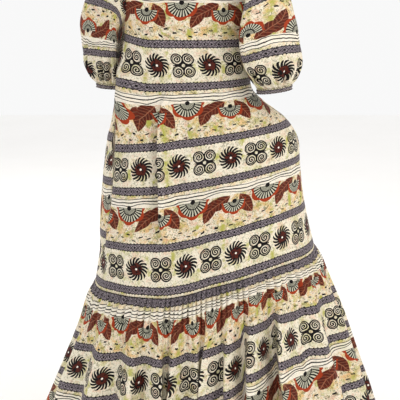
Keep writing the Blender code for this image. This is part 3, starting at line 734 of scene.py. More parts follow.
def waxPrint(name, fade=0.0):
    # Cotton wax print: dyed through the cloth, so both faces show it, a plain weave with a
    # slight calendered gloss, crackle where the wax broke, and inks that lie unevenly.
    look = printLook
    material = bpy.data.materials.new(name)
    material.use_nodes = True
    tree = material.node_tree
    cutPlace = add(tree, "UVMap", {}, uv_map="flatCut")
    # hand-cut blocks never run quite true
    wobble = add(tree, "TexNoise", {0: cutPlace, 2: grain["wobble"], 3: 2.0}, out=1)
    wobble = add(tree, "VectorMath", [wobble, (0.5, 0.5, 0.5)], operation="SUBTRACT")
    wobble = add(tree, "VectorMath", {0: wobble, 3: look["blockWobble"]}, operation="SCALE")
    drawn = add(tree, "VectorMath", [cutPlace, wobble], operation="ADD")
    u = add(tree, "SeparateXYZ", [drawn], out=0)
    v = add(tree, "SeparateXYZ", [drawn], out=1)
    # place in the repeat: 0 at the centre of the grey band under the symbols
    up = add(tree, "Math", [v, look["greyLow"]], operation="SUBTRACT")
    up = add(tree, "Math", [up, look["repeat"]], operation="FLOORED_MODULO")
    # and above the upper grey band's edge, for the flowers
    flowerStart = look["greyHigh"] - look["greyLow"] + look["greyHalf"]
    flowerT = add(tree, "Math", [up, flowerStart], operation="SUBTRACT")

    wash = add(tree, "TexNoise", {0: cutPlace, 2: grain["wash"], 3: 5.0, 4: 0.68})
    moved = add(tree, "Mapping", {0: cutPlace, 1: (3.7, 1.9, 0.0)})
    secondWash = add(tree, "TexNoise", {0: moved, 2: grain["secondWash"], 3: 5.0, 4: 0.68})
    redInk = add(tree, "TexNoise", {0: cutPlace, 2: grain["redInk"], 3: 2.0})
    colour, green = washedGround(tree, cutPlace, wash, secondWash, flowerT)
    colour = symbolRow(tree, colour, u, v, up, green, redInk)
    colour = flowerRow(tree, colour, cutPlace, u, flowerT, redInk)
    colour = greyBands(tree, colour, cutPlace, u, up)

    # crackle over everything: thin broken veins in the dye
    fine = add(tree, "TexVoronoi", {0: cutPlace, 2: grain["crackle"]}, feature="DISTANCE_TO_EDGE")
    fine = add(tree, "MapRange", {0: fine, 1: 0.0, 2: 0.035, 3: 0.22, 4: 0.0})
    fine = add(tree, "Math", [fine, secondWash], operation="MULTIPLY")
    colour = printInks(tree, colour, (ink["oldWax"], fine))
    if fade:
        colour = printInks(tree, colour, (ink["reverse"], fade))

    # topstitching beside the sewn edges
    seam = add(tree, "UVMap", {}, uv_map="seamPlace")
    alongSeam = add(tree, "SeparateXYZ", [seam])
    stitch = add(tree, "Math", [alongSeam, 1.0 / stitching["pitch"]], operation="MULTIPLY")
    stitch = add(tree, "Math", [stitch], operation="FRACT")
    stitch = add(tree, "Math", [stitch, stitching["share"]], operation="LESS_THAN")
    onLine = add(tree, "SeparateXYZ", [seam], out=1)
    onLine = add(tree, "Math", [onLine, stitching["in"], stitching["threadHalf"]], operation="COMPARE")
    stitch = add(tree, "Math", [stitch, onLine], operation="MULTIPLY")
    colour = printInks(tree, colour, (ink["thread"], stitch))

    # threads, drawn coarser than real ones, so that they show
    relief = None
    for number in (0, 1):
        thread = add(tree, "SeparateXYZ", [cutPlace], out=number)
        thread = add(tree, "Math", [thread, 2.0 * math.pi / weave["threadPitch"]], operation="MULTIPLY")
        thread = add(tree, "Math", [thread], operation="SINE")
        relief = add(tree, "Math", [relief, thread], operation="MULTIPLY") if number else thread
    crumple = add(tree, "TexNoise", {0: cutPlace, 2: grain["crumple"], 3: 3.0, 4: 0.55})
    relief = add(tree, "Math", [relief, weave["threads"], crumple], operation="MULTIPLY_ADD")
    relief = add(tree, "Math", [onLine, weave["seamDip"], relief], operation="MULTIPLY_ADD")
    relief = add(tree, "Math", [stitch, weave["stitch"], relief], operation="MULTIPLY_ADD")
    relief = {"Strength": weave["strength"], "Distance": weave["depth"], "Height": relief}
    shader = tree.nodes["Principled BSDF"]
    rough = add(tree, "MapRange", {0: wash, 1: 0.3, 2: 0.7, 3: 0.62, 4: 0.74})
    tree.links.new(colour, shader.inputs["Base Color"])
    tree.links.new(rough, shader.inputs["Roughness"])
    tree.links.new(add(tree, "Bump", relief), shader.inputs["Normal"])
    shader.inputs["IOR"].default_value = 1.47
    shader.inputs["Specular IOR Level"].default_value = 0.28
    shader.inputs["Sheen Weight"].default_value = 0.03
    shader.inputs["Sheen Roughness"].default_value = 0.5
    return material


print("materials")
cottonWaxPrint = waxPrint("cottonWaxPrint")
pocketLining = waxPrint("cottonWaxPrintReverse", fade=0.35)


bodice = {
    "columns": 168,
    "lowerRows": 138,
    "chestRows": 62,
    # the back's sharp tuck: its share of the width, levels, places, depth, lean, width
    "tuckAcross": 0.30,
    "tuckTop": -0.350,
    "tuckBottom": -0.790,
    "tuckTopX": -0.051,
    "tuckBottomX": -0.056,
    "tuckDepth": 0.0170,
    "tuckLean": 0.0280,
    "tuckWidth": 0.0140,
    "valleyDepth": 0.0100,
    # soft folds: x, top, bottom, width, how far they stand out
    "backFolds": (
        (-0.165, -0.520, -0.960, 0.030, 0.007), (0.010, -0.640, -0.980, 0.034, 0.005),
        (0.105, -0.560, -0.960, 0.036, 0.006), (0.225, -0.500, -0.940, 0.034, 0.007),
        (-0.178, -0.245, -0.505, 0.032, 0.015),
    ),
    "frontFolds": (
        (-0.150, -0.460, -0.950, 0.034, 0.008), (-0.050, -0.250, -0.900, 0.036, 0.009),
        (0.075, -0.250, -0.930, 0.038, 0.009), (0.200, -0.520, -0.960, 0.034, 0.008),
    ),
    # creases: from x, z to x, z, half width, height out, steeper on one side
    "backCreases": (
        (-0.150, -0.420, -0.205, -0.640, 0.012, -0.0035, 0.3),
        (-0.120, -0.470, -0.150, -0.700, 0.014, 0.0030, 0.4),
        (0.240, -0.520, 0.080, -0.620, 0.013, 0.0035, 0.4),
        (0.250, -0.545, 0.130, -0.700, 0.014, -0.0030, 0.3),
        (0.200, -0.440, 0.020, -0.500, 0.012, 0.0030, -0.4),
        (0.190, -0.400, 0.060, -0.420, 0.010, -0.0025, 0.3),
        (0.150, -0.300, 0.020, -0.360, 0.012, 0.0030, 0.4),
        (-0.160, -0.290, -0.040, -0.350, 0.012, 0.0028, -0.4),
        (-0.165, -0.360, -0.070, -0.400, 0.010, -0.0026, 0.2),
        (0.165, -0.150, 0.070, -0.260, 0.013, 0.0040, 0.3),
        (-0.160, -0.150, -0.080, -0.270, 0.013, 0.0036, -0.3),
        (0.060, -0.640, 0.045, -0.900, 0.014, -0.0040, 0.2),
        (0.160, -0.640, 0.185, -0.880, 0.013, -0.0040, -0.2),
        (-0.100, -0.700, -0.112, -0.920, 0.013, -0.0036, 0.2),
        (-0.215, -0.700, -0.235, -0.930, 0.012, 0.0036, 0.2),
    ),
    "frontCreases": (
        (-0.160, -0.150, -0.060, -0.260, 0.013, 0.0040, 0.3),
        (0.160, -0.150, 0.065, -0.250, 0.013, 0.0038, -0.3),
        (-0.170, -0.380, -0.050, -0.430, 0.012, 0.0030, 0.4),
        (0.170, -0.390, 0.040, -0.440, 0.012, 0.0030, -0.4),
        (-0.230, -0.520, -0.110, -0.640, 0.013, 0.0034, 0.4),
        (0.250, -0.520, 0.120, -0.630, 0.013, 0.0034, -0.4),
        (-0.100, -0.640, -0.110, -0.900, 0.014, -0.0040, 0.2),
        (0.015, -0.560, 0.012, -0.900, 0.015, -0.0045, 0.2),
        (0.140, -0.640, 0.150, -0.900, 0.013, -0.0040, -0.2),
        (-0.020, -0.110, 0.010, -0.240, 0.020, -0.0030, 0.1),
    ),
    "creaseGain": 1.55,
    "swellHeight": 0.0012,
    "puckerHeight": 0.0011,   # where the flounce is sewn on
    "seamDip": 0.0022,
    "frontPrintUp": -0.026,   # added to its place on the cut, so the bands lie 26 mm higher
    # the back's cloth is drawn up at its left edge: how far, from which x and level on
    "pulledUp": 0.013,
    "pulledX": -0.105,
    "pulledLevel": -0.510,
    # and turned there: how much, round which level, from which level down
    "pulledAcross": 0.42,
    "turnedRound": -0.330,
    "turnedLevel": -0.170,
    "turnedBy": 0.012,
}


def panelColumns(facing):
    # even columns, closer where the tuck turns over
    t = np.linspace(0.0, 1.0, 2001)
    density = np.ones_like(t)
    if facing < 0:
        density += 3.2 * np.exp(-(((t - bodice["tuckAcross"] + 0.01) / 0.050) ** 2))
    run = np.concatenate([[0.0], np.cumsum((density[1:] + density[:-1]) / 2.0)])
    return np.interp(np.linspace(0.0, run[-1], bodice["columns"]), run, t)


def tuckAngle(level):
    share = (level - bodice["tuckTop"]) / (bodice["tuckBottom"] - bodice["tuckTop"])
    x = bodice["tuckTopX"] + (bodice["tuckBottomX"] - bodice["tuckTopX"]) * share
    shift, halfWidth, back, _, _ = section(level)
    power = cloth["squareness"]
    depth = back * (1.0 - (np.abs(x - shift) / halfWidth) ** power) ** (1.0 / power)
    return np.degrees(np.arctan2(x - shift, depth))


def faded(level, top, bottom):
    return eased((top - level) / 0.10) * eased((level - bottom) / 0.10)


def lowerPanel(facing, columns, levels):
    level = levels[:, None] + 0.0 * columns[None, :]
    across = columns[None, :] + 0.0 * level
    left = seamAngle(-1, levels, facing, 0.0001)[:, None]
    right = seamAngle(1, levels, facing, 0.0001)[:, None] - (360.0 if facing > 0 else 0.0)
    angle = left + (right - left) * across
    if facing < 0:
        tuck = tuckAngle(levels)[:, None]
        share = bodice["tuckAcross"]
        drawn = np.where(
            across < share,
            left + (tuck - left) * across / share,
            tuck + (right - tuck) * (across - share) / (1.0 - share),
        )
        share = eased((underarm - level) / (underarm - bodice["tuckTop"]))
        angle = angle + (drawn - angle) * share
    points = bodyPoint(angle, level)
    normal = bodyNormal(angle, level)
    tangent = np.stack([normal[..., 1], -normal[..., 0], 0.0 * level], axis=-1) * facing
    out = 0.0 * level
    for x, top, bottom, width, depth in bodice["frontFolds" if facing > 0 else "backFolds"]:
        swing = x + 0.004 * np.sin(level * 14.0 + x * 30.0)
        ridge = np.exp(-(((points[..., 0] - swing) / width) ** 2))
        out += depth * faded(level, top, bottom) * ridge
    points += normal * out[..., None]
    if facing < 0:
        run = arcFrom(points, 0)
        middle = np.stack([np.interp(bodice["tuckAcross"], columns, row) for row in run])[:, None]
        off = (run - middle) / bodice["tuckWidth"]
        crest = faded(level, bodice["tuckTop"], bodice["tuckBottom"]) * np.exp(-off * off)
        lean = bodice["tuckLean"] * (1.0 + 0.10 * np.sin(level * 21.0))
        points += normal * (crest * bodice["tuckDepth"])[..., None]
        points -= tangent * (crest * lean)[..., None]
        # the cloth draws in just before it goes under the fold, and a bit behind the fold
        valley = np.exp(-((off + 2.1) / 1.5) ** 2) + 0.45 * np.exp(-((off - 2.4) / 1.3) ** 2)
        held = faded(level, bodice["tuckTop"] - 0.04, bodice["tuckBottom"])
        points -= normal * (valley * held * bodice["valleyDepth"])[..., None]
    return settled(points, level)


def sidewaysOf(facing, across):
    angle = 180.0 * across - 90.0 if facing < 0 else -90.0 - 180.0 * across
    return bodyPoint(angle, underarm)[..., 0] / body["halfWidth"][-1]


def bodyPanel(name, facing):
    columns = panelColumns(facing)
    levels = np.linspace(underarm, flounceSeam, bodice["lowerRows"] + 1)[1:]
    lower = lowerPanel(facing, columns, levels)
    rises = np.linspace(1.0, 0.0, bodice["chestRows"])
    upper = chestPoint(facing, sidewaysOf(facing, columns)[None, :], rises[:, None])
    points = np.concatenate([upper, lower], axis=0)
    normal = gridNormals(points)
    outward = np.where((normal * points * (1, 1, 0)).sum(axis=-1, keepdims=True) < 0, -1.0, 1.0)
    normal = normal * outward
    x, z = points[..., 0], points[..., 2]
    creases = bodice["frontCreases" if facing > 0 else "backCreases"]
    out = bodice["creaseGain"] * creased(x, z, creases)
    # little swells of loose cloth, none at the top edge
    swell = wander(z * 30.0 + 3.0 * np.sin(x * 18.0), 2.0) * wander(x * 24.0, 5.0)
    out += bodice["swellHeight"] * swell * eased((panelTop(facing, x) - z) / 0.06)
    # puckers where the flounce is sewn on
    centre = len(columns) // 2
    run = arcFrom(points, centre)
    rowLevel = np.concatenate([np.full(len(rises), underarm), levels])[:, None]
    near = 1.0 - eased((rowLevel - flounceSeam) / 0.035)
    out += bodice["puckerHeight"] * near * wander(run * 260.0, 1.0 + facing)
    # the side edges turn in at the seam
    edge = np.minimum(run - run[:, :1], run[:, -1:] - run)
    out -= bodice["seamDip"] * np.exp(-((edge / 0.0045) ** 2)) * (z < underarm + 0.01)
    points = points + normal * out[..., None]
    # flat cut: across from the centre, up from the flounce seam
    run = arcFrom(points, centre)
    mid = points[:, centre]
    count = len(rises)
    step = np.linalg.norm(np.diff(mid[count:], axis=0), axis=-1)
    lowerV = np.concatenate([[0.0], np.cumsum(step[::-1])])[::-1]
    top = lowerV[0] + np.linalg.norm(mid[count] - mid[count - 1])
    upperX, upperZ = points[:count, :, 0], points[:count, :, 2]
    rolled = eased((upperZ - panelTop(facing, upperX) + chest["roll"]) / chest["roll"])
    upperZ = upperZ - upperZ[-1:]
    upperV = top + upperZ + 0.035 * rolled**2
    lowerV = np.repeat(lowerV[:, None], len(columns), axis=1)
    flatV = np.concatenate([upperV, lowerV], axis=0)
    flatU = run * (1.0 if facing < 0 else -1.0)
    if facing > 0:
        flatV = flatV + bodice["frontPrintUp"]
    else:
        pulled = eased((bodice["pulledX"] - x) / 0.090)
        pulled = pulled * eased((z - bodice["pulledLevel"]) / 0.140)
        flatV = flatV - bodice["pulledUp"] * pulled
        below = np.clip(bodice["turnedRound"] - z, -0.040, 0.060)
        turned = bodice["turnedBy"] + bodice["pulledAcross"] * below
        flatU = flatU + turned * pulled * eased((bodice["turnedLevel"] - z) / 0.090)
    toSide = np.where(z < underarm, edge, 1.0)
    toSeam = np.concatenate([np.ones(count), levels - flounceSeam])[:, None]
    panel = hang(
        name, points, flatU, flatV, cottonWaxPrint,
        flip=facing > 0, fromEdge=np.minimum(toSide, toSeam),
    )
    width, length = float(np.ptp(run)), float(top + np.ptp(upperZ))
    print("measured on", name, round(width, 3), "by", round(length, 3))
    return panel, width, length + 0.03   # 3 cm more for what rolls over the shoulder


print("body panels")
backPanel, backWidth, backLength = bodyPanel("backPanel", -1)
frontPanel, frontWidth, frontLength = bodyPanel("frontPanel", 1)
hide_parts("back_panel")
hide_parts("front_panel")


flounce = {
    "depth": 0.560,
    "rows": 112,
    "columnsPerFold": 28,
    "flare": 0.340,
    "flareToLeft": 0.038,
    "hollowToLeft": 0.022,
    # troughs: angle, depth, lean of the crest after it (to the left where positive)
    "troughs": (
        (-97, 0.017, 0.010), (-80, 0.022, 0.014), (-64, 0.020, -0.012), (-46, 0.026, -0.026),
        (-33, 0.019, -0.034), (-21, 0.024, 0.010), (-11, 0.016, -0.010), (-1, 0.021, 0.034),
        (9, 0.016, 0.022), (20.5, 0.029, 0.044), (36, 0.038, 0.056), (50, 0.014, 0.006),
        (67, 0.022, -0.008), (83, 0.017, 0.014), (99, 0.022, 0.012), (117, 0.025, -0.026),
        (133, 0.018, 0.010), (148, 0.021, 0.028), (162, 0.016, -0.010), (175, 0.022, 0.030),
        (189, 0.017, -0.012), (204, 0.022, -0.022), (221, 0.018, 0.010), (241, 0.021, 0.020),
    ),
    "fullAt": 0.26,           # how far down the folds are fully grown
    "gathersPerFold": 3.6,
    "gatherDepth": 0.0062,
    "gatherReach": (0.15, 0.075),   # how far down they run, and how unevenly
    "fineDepth": 0.0011,
    "dentDepth": 0.0016,
    "swell": 0.010,
    "tuckedIn": 0.0026,
    "level": 0.80,            # how far each fold hangs level, not along the seam's slope
    "cutWidth": 1.50,         # each half, before it is gathered
    "measuredAt": 0.42,       # the row whose length gives the print's place across
    "hem": 0.015,             # from its edge to its stitches
    "printUp": 0.030,
    "printAcross": 0.020,
    # how far down the print lies from its usual place: angle, metres (up where negative)
    "printDownAtGathers": (
        (-120, 0.0), (6, 0.0), (16, -0.016), (28, -0.034), (36, -0.040), (50, -0.034), (66, -0.028),
        (90, -0.014), (150, 0.0),
    ),
    "printDown": (
        (-120, 0.0), (20.0, 0.0), (22.5, -0.038), (34.0, -0.026), (36.0, -0.026), (38.5, -0.044),
        (48, -0.024), (66, -0.024), (90, -0.014), (150, 0.0),
    ),
}


def flouncePanel(name, first, last):
    troughs = np.array(flounce["troughs"], float)
    count = len(troughs)
    per = flounce["columnsPerFold"]
    place = first + 0.25 + np.arange((last - first) * per + 1) / per
    low = np.floor(place).astype(int)
    share = place - low
    i, j = low % count, (low + 1) % count
    start = troughs[i, 0] + 360.0 * (low // count)
    end = troughs[j, 0] + 360.0 * ((low + 1) // count)
    angle = start + (end - start) * share
    depthAt = troughs[i, 1] + (troughs[j, 1] - troughs[i, 1]) * eased(share)
    # rows lie closer at the gathers
    t = np.linspace(0.0, 1.0, flounce["rows"])
    length = (flounce["depth"] * t ** 1.15)[:, None]
    grown = eased(length / flounce["fullAt"]) * (0.75 + 0.45 * length / flounce["depth"])
    # folds wander a little on their way down
    drift = 0.045 * wander(length * 9.0, 3.0) * np.sin(math.pi * share)[None, :]
    bent = np.clip(share[None, :] + drift * eased(length / 0.3), 0.0, 1.0)
    swing = np.cos(2.0 * math.pi * bent)
    crest = (0.5 - 0.5 * swing) ** 1.3
    foldAlong = -troughs[i, 2][None, :] * crest * grown
    # uneven gathers, each fading at its own length
    which = place * flounce["gathersPerFold"] + 0.34 * wander(place * 2.1, 4.0)
    phase = 2.0 * math.pi * which
    reach, uneven = flounce["gatherReach"]
    reach = reach + uneven * wander(which * 2.9, 7.0)
    fading = 1.0 - eased((length - 0.020) / reach[None, :])
    strong = 1.0 + 0.62 * wander(which * 1.7, 9.0)
    starting = 0.42 + 0.58 * eased(length / 0.022)
    number = np.arange(len(place))
    edge = np.minimum(np.minimum(number, number[::-1]) / (per / 4.0), 1.0)[None, :]
    # broad crests with narrow valleys between them
    valley = (0.5 + 0.5 * np.cos(phase + 0.5 * np.sin(phase))) ** 2.0
    gather = (1.75 * valley - 0.65)[None, :] * fading * strong[None, :] * starting * edge
    fine = np.cos(2.7 * phase + 1.0)[None, :] * (1.0 - eased(length / 0.070)) * starting * edge
    out = -depthAt[None, :] * (swing * 0.85 + 0.15 * (1.0 - 2.0 * crest)) * grown
    out = out - flounce["gatherDepth"] * gather - flounce["fineDepth"] * fine
    # small pulls and dents in the falling cloth
    dents = wander(place * 9.0 + length * 16.0, 6.0) * eased((length - 0.05) / 0.2) * edge
    out = out + flounce["dentDepth"] * dents
    shift, _, _, _, tilt = section(flounceSeam)
    normal = bodyNormal(angle, flounceSeam)[None, :, :]
    tangent = np.stack([-normal[..., 1], normal[..., 0], 0.0 * normal[..., 0]], axis=-1)
    flare = flounce["flare"] - flounce["flareToLeft"] * normal[..., 0]
    swell = flounce["swell"] * eased(length / 0.05)
    hollow = flounce["hollowToLeft"] * np.maximum(-normal[..., 0], 0.0)
    hollow = hollow * np.sin(math.pi * length / flounce["depth"])
    seam = bodyPoint(angle, flounceSeam)[None, :, :]
    points = seam + normal * (flare * length + swell - hollow + out)[..., None]
    points = points + tangent * foldAlong[..., None]
    drop = length * np.sqrt(1.0 - flare**2)
    sag = flounceSeam + tilt * (seam[..., 0] - shift) - seam[..., 2]
    points[..., 2] = flounceSeam + tilt * (points[..., 0] - shift) - sag - 0.0004 - drop
    # each fold hangs level by itself, and the step to the next one hides under its edge
    step = share - 0.5
    hidden = eased((np.abs(step) - 0.36) / 0.14)
    step = step * (1.0 - hidden)
    across = np.pad(np.gradient(points[..., 0], axis=1) * per, ((0, 0), (per // 2,) * 2), mode="edge")
    even = np.ones(per + 1) / (per + 1)
    across = np.array([np.convolve(row, even, "valid") for row in across])
    points[..., 2] -= flounce["level"] * tilt * across * step[None, :] * grown
    # the top edge goes in behind the body's edge
    tucked = flounce["tuckedIn"] * (1.0 - eased(length / 0.008))
    points = points - normal * tucked[..., None]
    # flat cut: across as long as the cloth is three quarters of the way down
    run = arcFrom(points, 0)
    at = int(np.argmin(np.abs(length[:, 0] - flounce["measuredAt"])))
    width = run[at] * flounce["cutWidth"] / run[at][-1]
    flatU = np.repeat((width + first * 0.137)[None, :], len(t), axis=0)
    flatV = flounce["printUp"] - np.repeat(length, len(place), axis=1)
    tables = [np.array(flounce[name]) for name in ("printDownAtGathers", "printDown")]
    above, below = [np.interp(angle, table[:, 0], table[:, 1])[None, :] for table in tables]
    moved = above + (below - above) * eased((length - 0.060) / 0.110)
    flatV = flatV + moved * eased(length / 0.130)
    if first == 0:
        flatU = flatU - np.interp(0.0, angle, width) - flounce["printAcross"]
    # the hem is turned up once and stitched above its edge
    fromEdge = np.abs(flounce["depth"] - flounce["hem"] - length) + stitching["in"] + 0.0 * flatU
    sheet = hang(name, points, flatU, flatV, cottonWaxPrint, fromEdge=fromEdge)
    print("along its seam, middle and hem", [round(float(run[row][-1]), 3) for row in (0, at, -1)])
    return sheet


print("flounce")
rightSeam = max(i for i, t in enumerate(flounce["troughs"]) if t[0] < 90.0)
flounceBack = flouncePanel("flounceBack", 0, rightSeam)
flounceFront = flouncePanel("flounceFront", rightSeam, len(flounce["troughs"]))
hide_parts("flounce_back")
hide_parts("flounce_front")


sleeves = {
    "sleeveRight": {
        "node": "sleeve_right", "cuff": "cuff_right", "side": 1, "centre": (0.232, -0.084, -0.377),
        "lean": 0.14, "puff": (0.044, -0.040), "overhang": 0.135, "twist": -32.0, "printAcross": 0.090,
    },
    "sleeveLeft": {
        "node": "sleeve_left", "cuff": "cuff_left", "side": -1, "centre": (-0.220, 0.070, -0.386),
        "lean": 0.05, "puff": (0.118, 0.005), "overhang": 0.020, "twist": 26.0, "printAcross": -0.062,
    },
}
sleeveShape = {
    "columns": 176,
    "rows": 96,
    "cuffRadius": 0.046,
    # how the cloth leaves the armhole (out, out at the outer side, up there, up) and the cuff
    "head": (0.026, 0.034, 0.028, -0.014),
    "headFullness": 0.012,
    "footFullness": 0.054,
    "footRise": 0.115,
    "gathers": 16,
    "gatherDepth": 0.0092,
    "fineDepth": 0.0014,
    "foldDepth": 0.0040,
    "swellDepth": 0.0022,
    "sagDepth": 0.0040,       # just above the cuff
    "clearance": 0.006,
    "cutWidth": 0.560,
    "printAtCuff": 0.1215,
    "printFollows": 0.65,     # how much the print follows the uneven length of the cloth
}


def clearOfBody(points, clearance):
    # moves points that would lie in the body out to just beside it
    z = points[..., 2]
    shift, halfWidth, back, front, _ = section(np.maximum(z, flounceSeam))
    depth = np.where(points[..., 1] < 0, back, front) + clearance
    width = halfWidth + clearance
    x = points[..., 0] - shift
    power = cloth["squareness"]
    inside = np.abs(x / width) ** power + np.abs(points[..., 1] / depth) ** power
    outwards = np.maximum(inside, 1e-9) ** (-1.0 / power)
    grow = np.where((inside < 1.0) & (z <= underarm - 0.004), outwards, 1.0)
    return np.stack([shift + x * grow, points[..., 1] * grow, z], axis=-1)


def armholeEdge(side, place):
    # from the underarm up the back to 1 at the shoulder, then down the front to 2
    facing = np.where(place <= 1.0, -1, 1)
    rise = np.where(place <= 1.0, place, 2.0 - place)
    made = []
    for one, up in zip(facing, rise):
        edge = chestPoint(int(one), side, up)
        inner = chestPoint(int(one), side * 0.97, up)
        across = unit(edge - inner)
        mix = eased(up * 8 / 2)
        away = unit(across * mix + np.array((0.0, 0.0, 1.0)) * (1.0 - mix))
        made.append(edge + away * 0.0010)
    return np.array(made)


def cuffRing(one, drop, columns, gatherSize):
    turn = np.linspace(0.0, 2.0 * math.pi, columns) + math.radians(one["twist"])
    radius = sleeveShape["cuffRadius"] + gatherSize
    x = -one["side"] * np.cos(turn) * radius
    y = -np.sin(turn) * radius
    z = one["side"] * one["lean"] * x - drop
    ring = np.array(one["centre"]) + np.stack([x, y, z], axis=-1)
    return clearOfBody(ring, sleeveShape["clearance"])


def makeSleeve(name, one):
    side, columns = one["side"], sleeveShape["columns"]
    place = np.linspace(0.0, 2.0, columns)
    place[-1] = place[0]
    turn = np.linspace(0.0, 2.0 * math.pi, columns)
    outer = 0.5 - 0.5 * np.cos(turn)
    start = armholeEdge(side, place)
    end = cuffRing(one, -0.0004, columns, 0.0)
    t = (np.linspace(0.0, 1.0, sleeveShape["rows"]) ** 0.95)[:, None]
    twisted = turn[None, :] + math.radians(one["twist"]) * t
    radial = np.stack([-side * np.cos(twisted), -np.sin(twisted), 0.0 * twisted], axis=-1)
    zero = np.zeros_like(twisted)
    bulge = outer[None, :] + zero
    out, outMore, upMore, up = sleeveShape["head"]
    lift = np.stack([side * (out + outMore * bulge), zero, upMore * bulge + up], axis=-1)
    puff = np.stack([side * one["puff"][0] * bulge, one["puff"][1] + zero, zero], axis=-1)
    nearHead = start[None, :, :] + lift + puff * 0.25
    nearHead = nearHead + radial * (sleeveShape["headFullness"] * bulge)[..., None]
    rise = np.array((0.0, -0.40 * one["centre"][1], sleeveShape["footRise"]))
    nearFoot = end[None, :, :] + rise + puff * 0.35
    nearFoot = nearFoot + radial * (sleeveShape["footFullness"] * bulge)[..., None]
    behind = (np.maximum(np.sin(turn), 0.0) ** 2 * one["overhang"])[None, :] + zero
    nearHead[..., 1] -= behind
    nearFoot[..., 0] -= side * behind
    nearFoot[..., 1] -= 0.3 * behind
    low, high = t[..., None], (1.0 - t)[..., None]
    points = start[None] * high**3 + nearHead * 3 * high * high * low
    points = points + nearFoot * 3 * high * low * low + end[None] * low**3
    # gathers at the cuff and the head, uneven in depth and reach
    number = turn / (2.0 * math.pi) * sleeveShape["gathers"]
    phase = 2.0 * math.pi * number + 0.9 * np.sin(turn * 3.0) + 0.5 * np.sin(turn * 5.0 + 1.0)
    reach = 0.24 + 0.10 * np.sin(np.round(number) * 2.3)
    strong = 1.0 + 0.30 * np.sin(np.round(number) * 3.7 + side)
    atCuff = eased((t - 1.0 + reach[None, :]) / 0.22) * (1.0 - 0.6 * eased((t - 0.96) / 0.04))
    atHead = (1.0 - eased((t - 0.05) / 0.18)) * eased(t / 0.05) * outer[None, :]
    valley = (0.5 + 0.5 * np.cos(phase + 0.4 * np.sin(phase))) ** 1.9
    gather = (0.70 - 1.75 * valley)[None, :] * strong[None, :] * (atCuff + 0.55 * atHead)
    ripple = gather * sleeveShape["gatherDepth"]
    ripple += sleeveShape["fineDepth"] * np.cos(2.6 * phase)[None, :] * eased((t - 0.84) / 0.1)
    # soft slanting folds in the puff, and a sag above the cuff
    arch = np.sin(math.pi * t)
    slant = np.maximum(np.sin(turn[None, :] * 2.0 + t * 7.0 * side), -0.4)
    ripple += sleeveShape["foldDepth"] * slant * arch**1.5 * outer[None, :]
    swell = wander(turn[None, :] * 2.0 - t * 11.0, 2.0 + side)
    ripple += sleeveShape["swellDepth"] * swell * arch
    ripple += sleeveShape["sagDepth"] * np.exp(-(((t - 0.86) / 0.07) ** 2)) * outer[None, :]
    points = points + radial * ripple[..., None]
    points = clearOfBody(points, sleeveShape["clearance"] * eased(t * 6.0) + 0.002)
    points[:, -1] = points[:, 0]
    # flat cut: across round the sleeve, down to the cuff
    step = np.linalg.norm(np.diff(points, axis=0), axis=-1)
    down = np.concatenate([np.zeros((1, columns)), np.cumsum(step, axis=0)], axis=0)
    upFromCuff = down[-1:] - down
    even = upFromCuff[:, columns // 2:columns // 2 + 1]
    follows = sleeveShape["printFollows"]
    flatV = sleeveShape["printAtCuff"] - (upFromCuff * follows + even * (1.0 - follows))
    flatU = turn / (2.0 * math.pi) * sleeveShape["cutWidth"] * -side + one["printAcross"]
    flatU = np.repeat(flatU[None, :], len(t), axis=0)
    sleeve = hang(
        name, points, flatU, flatV, cottonWaxPrint, closed=True, flip=side > 0
    )
    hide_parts(one["node"])


cuffShape = {
    "columns": 160,
    # rows from the casing's top down to the frill's edge: how far down, how far out
    "drops": (0.0004, 0.002, 0.005, 0.008, 0.0105, 0.012, 0.0140),
    "out": (0.0, 0.0014, 0.0020, 0.0014, -0.0004, 0.0002, 0.0022),
    "frillFrom": 0.011,
    "casingPucker": 0.60,     # as a share of the frill's
    "cutWidth": 0.36,
}


def makeCuff(name, one):
    # a casing drawn in by elastic, with a short frill under it
    columns = cuffShape["columns"]
    turn = np.linspace(0.0, 2.0 * math.pi, columns)
    drops = np.array(cuffShape["drops"])
    pucker = 0.0015 * np.sin(turn * 34.0) + 0.0009 * np.sin(turn * 21.0 + 1.0)
    rows = []
    for drop, out in zip(cuffShape["drops"], cuffShape["out"]):
        share = 1.0 if drop > cuffShape["frillFrom"] else cuffShape["casingPucker"]
        gather = out + pucker * share * min(drop / 0.002, 1.0)
        rows.append(cuffRing(one, drop, columns, gather))
    ring = np.array(rows)
    ring[:, -1] = ring[:, 0]
    flatU = np.repeat((turn / (2.0 * math.pi) * cuffShape["cutWidth"])[None, :], len(drops), axis=0)
    flatV = np.repeat((sleeveShape["printAtCuff"] + drops)[:, None], columns, axis=1)
    fromEdge = np.minimum(drops, drops[-1] - drops)[:, None] + 0.0 * flatU
    cuff = hang(
        name, ring, flatU, flatV, cottonWaxPrint,
        closed=True, flip=one["side"] > 0, fromEdge=fromEdge,
    )
    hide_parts(one["cuff"])


print("sleeves")
for sleeveName, sleeveSizes in sleeves.items():
    makeSleeve(sleeveName, sleeveSizes)
    makeCuff(sleeveName.replace("sleeve", "cuff"), sleeveSizes)


neckband = {
    "width": 0.012,
    "perSide": 72,
    "out": 0.0016,
    # rows from the folded edge at the neck outwards: share of the width, height
    "rows": (
        (0.02, -0.0012), (0.0, 0.0006), (0.04, 0.0016), (0.30, 0.0022), (0.62, 0.0021),
        (0.90, 0.0016), (1.0, 0.0008),
    ),
    "printLevel": 0.141,
}


